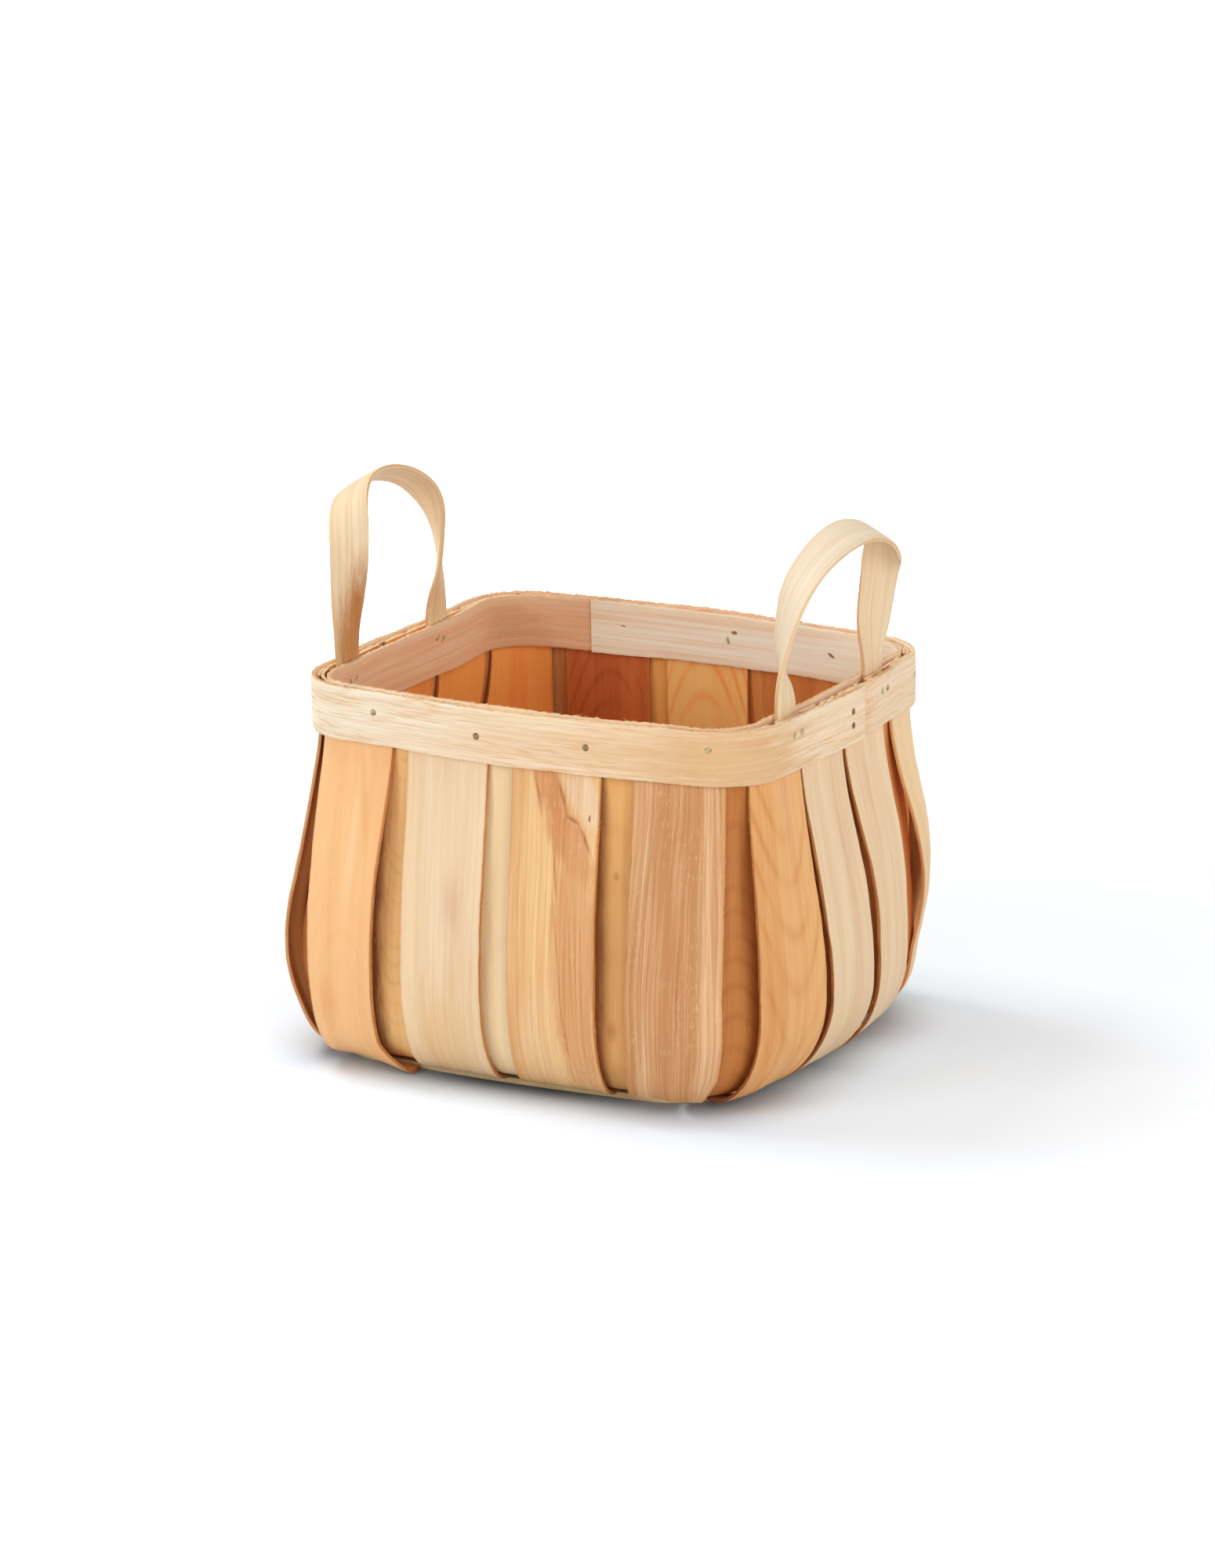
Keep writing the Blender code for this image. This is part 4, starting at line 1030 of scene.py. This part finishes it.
# %% A smooth curve through a few points
def smooth_through(points, first_slope, last_slope, count):
    """Points of a cubic curve through evenly timed points, with set slopes at its ends."""
    points = np.asarray(points, float)
    last = len(points) - 1
    system, known = np.eye(last + 1), np.zeros(points.shape)
    known[0], known[-1] = first_slope, last_slope
    for row in range(1, last):
        system[row, row - 1:row + 2] = (1, 4, 1)
        known[row] = 3 * (points[row + 1] - points[row - 1]) * last
    slopes = np.linalg.solve(system, known)
    time = np.linspace(0, last, count)
    cell = np.minimum(time.astype(int), last - 1)
    part = (time - cell)[:, None]
    one, two, rise, fall = (points[cell], points[cell + 1], slopes[cell] / last,
                            slopes[cell + 1] / last)
    return (one * (1 + 2 * part) * (1 - part) ** 2 + two * part ** 2 * (3 - 2 * part)
            + rise * part * (1 - part) ** 2 + fall * part ** 2 * (part - 1))


# %% Seats of the legs
def leg_seat(place, height):
    """The middle of a leg at a height."""
    sides = np.array([place - HANDLE_WIDTH / 2, place + HANDLE_WIDTH / 2])
    return rim_point(sides, INNER_SEAT - HANDLE_THICKNESS / 2, height).mean(0)


# %% One strap
LEG_STEEPNESS, LEG_ROWS, ARCH_ROWS, STRAP_WANDER = 0.30, 7, 97, 0.02
LEFT_MIDDLE = ((-110.6, -58.3, 220.4), (-112.0, -52.5, 247.8), (-118.5, -38.3, 269.5),
               (-118.6, -12.4, 276.1), (-113.4, 13.7, 268.1), (-110.7, 28.9, 247.4),
               (-111.0, 32.5, 219.5))
LEFT_ACROSS = ((0, 1, 0), (0.32, 0.92, 0.23), (0.57, 0.72, 0.40), (0.76, 0.42, 0.49),
               (0.89, 0.01, 0.46), (0.90, -0.24, 0.37), (0.65, -0.59, 0.48),
               (0.43, -0.87, 0.23), (0, -1, 0))
RIGHT_MIDDLE = ((121.5, -52.9, 212.2), (123.1, -44.7, 237.5), (127.6, -27.6, 255.4),
                (135.2, -4.5, 265.1), (138.0, 21.5, 258.7), (130.8, 39.3, 241.5),
                (125.6, 42.2, 215.2))
RIGHT_ACROSS = ((0, -1, 0), (0.56, -0.83, 0.01), (0.85, -0.51, -0.12), (0.98, -0.12, -0.16),
                (0.89, 0.32, -0.32), (0.71, 0.35, -0.61), (0.30, 0.61, -0.74),
                (0.50, 0.79, -0.35), (0, 1, 0))


def strap(name, first, last, middle, across, woods):
    """A strap from one leg over to the other; middle is in millimetres."""
    start, end = leg_seat(first, RIM_TOP), leg_seat(last, RIM_TOP)
    points = np.vstack([start, np.array(middle) / 1000, end])
    arch = smooth_through(points, (0, 0, LEG_STEEPNESS), (0, 0, -LEG_STEEPNESS), ARCH_ROWS)
    width = smooth_through(across, (0, 0, 0), (0, 0, 0), ARCH_ROWS)
    low = [blend(leg_seat(leg, BAND_BOTTOM + LEG_LIFT), leg_seat(leg, RIM_TOP),
                 np.linspace(0, 1, LEG_ROWS)[:-1, None]) for leg in (first, last)]
    arch = np.vstack([low[0], arch, low[1][::-1]])
    width = np.vstack([np.repeat(width[:1], LEG_ROWS - 1, 0), width,
                       np.repeat(width[-1:], LEG_ROWS - 1, 0)])
    heading = unit(np.gradient(arch, axis=0))
    width = unit(width - heading * (width * heading).sum(1, keepdims=True))
    share = np.sort(np.r_[np.linspace(-1, 1, 9), -0.97, 0.97])
    way = lengths(arch)[:, None]
    half = HANDLE_WIDTH / 2 * (1 + STRAP_WANDER * ripple(way, 0.07))
    grid = arch[:, None, :] + width[:, None, :] * (share * half)[..., None]
    thick = HANDLE_THICKNESS * (1 - EDGE_THINNING * np.abs(share) ** 12)
    return thin_sheet(name, grid, thick[None, :], share[None, :] * half,
                      way + 0 * share[None, :], woods)


right_front, right_back, left_back, left_front = leg_places()
left_strap = strap("handle_left.strap", left_front, left_back, LEFT_MIDDLE, LEFT_ACROSS,
                   (LEFT_OUTSIDE, LEFT_INSIDE, PALE_EDGE))
settle_in(left_strap)
right_strap = strap("handle_right.strap", right_front, right_back, RIGHT_MIDDLE, RIGHT_ACROSS,
                    (STRAP_BACK, STRAP_WOOD, PALE_EDGE))
settle_in(right_strap)
print("straps up to", [round(max(v.co.z for v in s.data.vertices), 4)
                       for s in (left_strap, right_strap)])

# %% [markdown]
# ## Base and floor boards
# The stave feet are tacked between two thin boards. Each board is sawn to the base's outline.
# Rings of points from the middle outwards, with the last few wrapped round the edge, give it a
# softly rounded edge and a clean face.

# %% A closed skin over rings of points
def skin(rings):
    """Points and faces of a closed skin over rings, from a top point to a bottom point."""
    rings = np.asarray(rings)
    count, sides = len(rings) - 2, rings.shape[1]
    points = np.vstack([rings[0, :1], rings[1:-1].reshape(-1, 3), rings[-1, :1]]).tolist()
    index = 1 + np.arange(count * sides).reshape(count, sides)
    after = np.roll(index, -1, axis=1)
    faces = np.stack([index[:-1], index[1:], after[1:], after[:-1]], -1).reshape(-1, 4).tolist()
    for one, two in zip(index[0].tolist(), after[0].tolist()):
        faces.append((0, one, two))
    for one, two in zip(index[-1].tolist(), after[-1].tolist()):
        faces.append((one, count * sides + 1, two))
    return points, faces


# %% The two boards
BOARD_SIDES, SOFT_EDGE, FAR_FROM_EDGES = 240, 0.0006, 0.02
BOARD_WOOD = veneer("board_wood", (246, 222, 184), (222, 182, 136), 0.5, 0.5, torn=0.6)
FLOOR_WOOD = veneer("floor_wood", (252, 226, 184), (232, 190, 138), 0.5, 0.6, torn=0.6, arcs=0.2)


def board(name, bottom, thickness, reach, woods):
    """A flat board with the base's outline and a softened edge."""
    place = np.linspace(-CORE_X, -CORE_X + WAY_ROUND, BOARD_SIDES + 1)[:-1]
    core, far, bowed = (np.stack(outline(place, radius, bow, bow), 1)
                        for radius, bow in ((0.0, 0.0), (1.0, 0.0), (1.0, BASE_BOW)))
    out = far - core
    edge = core * (1 - BASE_ROUNDING / np.array((CORE_X, CORE_Y)))
    edge = edge + out * (reach + BASE_ROUNDING) + bowed - far
    lower = [(share, 0, 0) for share in (0.0, 0.25, 0.5, 0.75, 0.97)]
    lower += [(1, SOFT_EDGE, 0), (1, SOFT_EDGE * 0.3, SOFT_EDGE * 0.3), (1, 0, SOFT_EDGE)]
    upper = [(share, inset, thickness - height) for share, inset, height in lower]
    points, faces = skin([np.column_stack([edge * share - out * inset - (BASE_LEAN, 0),
                                           np.full(BOARD_SIDES, bottom + height)])
                          for share, inset, height in upper + lower[::-1]])
    kinds = [int(4 <= face // BOARD_SIDES < 9) for face in range(len(faces))]
    mesh = bpy.data.meshes.new(name)
    mesh.from_pydata(points, [], faces)
    corners = np.array([points[corner] for face in faces for corner in face])
    paint_map(mesh, "grain", np.stack([corners[:, 1] + corners[:, 2], corners[:, 0]], 1))
    paint_map(mesh, "edges", np.full((len(corners), 2), FAR_FROM_EDGES))
    return finished(name, mesh, woods, kinds, 40)


base = board("base_board.wood", 0.0, BASE_BOARD, BEND_RADIUS + BASE_LIP + 0.0010,
             (BOARD_WOOD, BOARD_EDGE))
settle_in(base)
floor_board = board("floor_board.wood", FLOOR_BOTTOM, FLOOR_BOARD, BEND_RADIUS - FLOOR_INSET,
                    (FLOOR_WOOD, PALE_EDGE))
settle_in(floor_board)
print("boards", [tuple(round(v, 4) for v in b.dimensions) for b in (base, floor_board)])

# %% [markdown]
# ## Nails and tacks
# Soft wire nails go through both bands, and their points are bent over inside. The heads are
# dull, slightly domed discs with small dents from the hammer. A profile turned round an axis
# gives the head and shank, and the bent point is a small flattened bar on the inner band.

# %% Nail metal
def nail_metal(name, clean, tarnished):
    """Dull greyish brass with tarnish and hammer marks."""
    made, tree, shader = new_material(name)
    place = put(tree, "TexCoord")["Object"]
    tarnish, dents = (put(tree, "TexNoise", Vector=place, Scale=scale, Detail=detail,
                          Roughness=roughness)["Fac"]
                      for scale, detail, roughness in ((900.0, 3.0, 0.6), (1500.0, 2.0, 0.5)))
    feed(shader, Metallic=0.3, Roughness=remap(tarnish, 0.35, 0.7, 0.42, 0.7),
         Base_Color=mix(remap(tarnish, 0.4, 0.65), tone(clean), tone(tarnished)),
         Normal=put(tree, "Bump", Strength=0.5, Distance=0.0002, Height=dents)[0])
    return made


# %% A nail
NAIL_HEAD, NAIL_SHANK, NAIL_SIDES = 0.0017, 0.0006, 20
HEAD_PROFILE = ((0.0, 0.00042), (0.45, 0.00038), (0.8, 0.00026), (0.97, 0.00008), (1.0, -0.0001),
                (0.96, -0.0003))
BENT_POINT = ((-0.0006, 0.0004, 0.0), (0.0, 0.0006, 0.0004), (0.0016, 0.0006, 0.0004),
              (0.0028, 0.0004, 0.0003), (0.0036, 0.0001, 0.00005))
BAR_SECTION = ((-1, 0), (-0.6, 1), (0.6, 1), (1, 0))


def nail(name, head, outward, length, metal, clinch=True):
    """A nail with a domed head, its point bent over on the far side."""
    turn = np.linspace(0, 2 * math.pi, NAIL_SIDES, endpoint=False)
    profile = [(NAIL_HEAD * share, height) for share, height in HEAD_PROFILE]
    profile += [(NAIL_SHANK, -0.0006), (NAIL_SHANK, -length + 0.0004), (0.0, -length)]
    points, faces = skin([np.stack([radius * np.cos(turn), radius * np.sin(turn),
                                    height + 0 * turn], 1) for radius, height in profile])
    if clinch:
        start = len(points)
        for x, half, depth in BENT_POINT:
            points += [(x, half * y, -length - depth * low) for y, low in BAR_SECTION]
        for one in range(start, start + 16, 4):
            faces += [(one + side, one + (side + 1) % 4, one + 4 + (side + 1) % 4, one + 4 + side)
                      for side in range(4)]
        faces += [tuple(range(start + 3, start - 1, -1)), tuple(range(start + 16, start + 20))]
    mesh = bpy.data.meshes.new(name)
    mesh.from_pydata(points, [], faces)
    mesh.transform(Matrix.Translation(head)
                   @ Vector(outward).to_track_quat("Z", "Y").to_matrix().to_4x4()
                   @ Matrix.Rotation(ripples.uniform(0, 2 * math.pi), 4, "Z"))
    return finished(name, mesh, [metal], np.zeros(len(faces)), 50)


# %% Nails where the solids have them
NAIL_PAIR, NAIL_PAIR_OFFSET, LAP_NAIL_INSET, LEG_NAIL_SHARE = 0.0074, 0.003, 0.013, 0.69
SINGLE_NAILS = ((-0.0852, 0.62), (-0.0178, 0.48), (0.0483, 0.52), (0.1180, 0.69),
                (0.3429, 0.58), (0.4200, 0.55), (0.4880, 0.47), (0.5560, 0.55))
LAP_NAILS, DARK_NAILS, TACK_COUNT = (0.63, 0.36), (2, 3, 6, 9, 10), 4
LAP_START = OUTER_LAP_SHARE * WAY_ROUND
METALS = (nail_metal("pale_nail_metal", (196, 178, 134), (136, 112, 74)),
          nail_metal("dark_nail_metal", (152, 120, 78), (82, 58, 36)))


def rim_nails():
    """Places on the way round and heights in shares of the band."""
    places = [(share * WAY_ROUND, height) for share, height in SINGLE_NAILS]
    lap = LAP_START + LAP_LENGTH - LAP_NAIL_INSET
    places += [(lap, height) for height in LAP_NAILS]
    for leg, sign in zip(leg_places(), (-1, -1, 1, 1)):
        for beside in (-0.5, 0.5):
            places.append((leg + sign * NAIL_PAIR_OFFSET + beside * NAIL_PAIR, LEG_NAIL_SHARE))
    return places


for number, (place, share) in enumerate(rim_nails(), 1):
    place = (place - LAP_START) % WAY_ROUND + LAP_START
    place += WAY_ROUND if place < LAP_START + LAP_LENGTH else 0.0
    face = BAND_SEAT + float(band_faces(place, LAP_START, OUTER_BAND)[1])
    height = BAND_BOTTOM + BAND_HEIGHT * share
    before, head, beyond = rim_point(np.array([place - 0.001, place, place + 0.001]), face, height)
    along = beyond - before
    outward = Vector((along[1], -along[0], 0)).normalized()
    inside = INNER_SEAT - float(leg_push(place)) - INNER_BAND
    piece = nail(f"rim_nail_{number:02d}.metal", Vector(head), outward, face - inside + 0.0001,
                 METALS[number in DARK_NAILS])
    settle_in(piece)
for number in range(1, TACK_COUNT + 1):
    low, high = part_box(f"floor_tack_{number}")
    head = (low + high) / 2
    head.z = high.z
    piece = nail(f"floor_tack_{number}.metal", head, (0, 0, 1), high.z - low.z, METALS[0],
                 clinch=False)
    settle_in(piece)
print("nails and tacks placed")

# %% [markdown]
# ## Floor, light and camera
# The basket stands on a white table under a broad soft window light from the left. The floor is
# white to the camera away from the basket and keeps the basket's shadow. A glow that only the
# camera sees makes up for the light that fades far out, and it fades out near the base, where
# the belly keeps the light off the table. Close round the base the table's colour is darkened
# into a painted contact shadow, darkest near the middle in X, and near the basket the table
# and the glow are tinted blue, which paints out the warm light bounced off the wood.

# %% The white floor
FLOOR_REACH, CORE_INSET = 6.0, 0.012
PAINTED_SHADOW_FRONT, PAINTED_SHADOW_SIDES = (0.06, 0.08, 0.10, 1), (0.47, 0.54, 0.61, 1)
NEAR_TABLE, FAR_TABLE = (0.78, 0.85, 0.92, 1), (0.82, 0.845, 0.875, 1)
NEAR_GLOW, FAR_GLOW = (0.78, 0.90, 1.0, 1), (1, 1, 1, 1)


def eye_rays(tree):
    """1 for what the camera sees, also in a reflection or through glass, and 0 for other light."""
    ray = put(tree, "LightPath")
    seen = ray["Is Camera Ray"].maths("MAXIMUM", ray["Is Glossy Ray"])
    return seen.maths("MAXIMUM", ray["Is Transmission Ray"])


def white_floor():
    """A large plane that looks white, takes the shadow and has a painted contact shadow round the
    base.
    """
    mesh = bpy.data.meshes.new("floor")
    mesh.from_pydata([(FLOOR_REACH * x, FLOOR_REACH * y, 0)
                      for x, y in ((-1, -1), (1, -1), (1, 1), (-1, 1))], [], [(0, 1, 2, 3)])
    made = in_scene("floor", mesh)
    paint, tree, shader = new_material("white_table")
    place_x, place_y = split(put(tree, "TexCoord")["Object"])
    x = (place_x + (BASE_LEAN - 0.004)).maths("ABSOLUTE") - (CORE_X - CORE_INSET)
    y = place_y.maths("ABSOLUTE") - (CORE_Y - CORE_INSET)
    x, y = x.maths("MAXIMUM", 0.0), y.maths("MAXIMUM", 0.0)
    away = (x * x + y * y).maths("SQRT") - (BEND_RADIUS + 0.015)
    # painted contact shadow: the table's colour turns dark grey within about 3 cm of the base,
    # darkest near the middle in X
    under = mix(remap(place_x.maths("ABSOLUTE"), 0.01, 0.09), PAINTED_SHADOW_FRONT, PAINTED_SHADOW_SIDES)
    table = mix(remap(away, -0.003, 0.027), under, NEAR_TABLE)
    table = mix(remap(away, 0.01, 0.22), table, FAR_TABLE)
    glow = remap(away, 0.007, 0.047, 0.0, 0.27) + remap(away, 0.12, 1.2, 0.0, 0.85)
    # painted light: a blue tint near the basket cancels the warm light that the wood bounces onto
    # the table
    tint = mix(remap(away, 0.0, 0.10), NEAR_GLOW, FAR_GLOW)
    feed(shader, Base_Color=table, Roughness=0.9, Specular_IOR_Level=0.0, Emission_Color=tint,
         Emission_Strength=eye_rays(tree) * glow)
    mesh.materials.append(paint)
    made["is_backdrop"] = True


white_floor()

# %% World and lamps
SKY_LIGHT = 0.46
world = bpy.data.worlds.new("white_room")
bpy.context.scene.world = world
world.use_nodes = True
feed(world.node_tree.nodes["Background"], Color=(1, 1, 1, 1),
     Strength=remap(eye_rays(world.node_tree), 0.0, 1.0, SKY_LIGHT, 1.0, "LINEAR"))


def area_lamp(name, place, aim, size, power):
    """A soft square lamp that points at a spot."""
    light = bpy.data.lights.new(name, "AREA")
    light.shape, light.size, light.energy = "SQUARE", size, power
    made = in_scene(name, light)
    made.location = place
    made.rotation_mode = "QUATERNION"
    made.rotation_quaternion = (Vector(aim) - Vector(place)).to_track_quat("-Z", "Y")


area_lamp("window", (-1.05, 0.05, 1.75), (0, 0, 0.08), 0.75, 15)
area_lamp("left_screen", (-1.1, -1.9, 1.0), (0, 0, 0.12), 1.0, 14.2)
area_lamp("right_screen", (2.0, -1.0, 0.9), (0, 0, 0.12), 1.6, 22)
bpy.context.scene.view_settings.view_transform = "Standard"

# %% [markdown]
# The camera looks from the front right, a little above the rim, from two metres and more away,
# so the basket keeps its straight lines.

# %% The camera
CAMERA_PLACE = (0.98873, -1.87047, 0.68765)
CAMERA_RIGHT, CAMERA_UP = (0.88623, 0.46289, -0.01806), (-0.10318, 0.23525, 0.96644)
camera_data = bpy.data.cameras.new("camera")
camera_data.sensor_fit, camera_data.sensor_height, camera_data.lens = "VERTICAL", 36.0, 101.78
camera = in_scene("camera", camera_data)
right, up = Vector(CAMERA_RIGHT).normalized(), Vector(CAMERA_UP)
up = (up - right * up.dot(right)).normalized()
camera.matrix_world = Matrix.Translation(CAMERA_PLACE) @ Matrix(
    (right, up, right.cross(up))).transposed().to_4x4()
bpy.context.scene.camera = camera

# %% Sizes of the visible pieces
low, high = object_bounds()
print("visual box", [round(v, 4) for v in (*low, *high)])
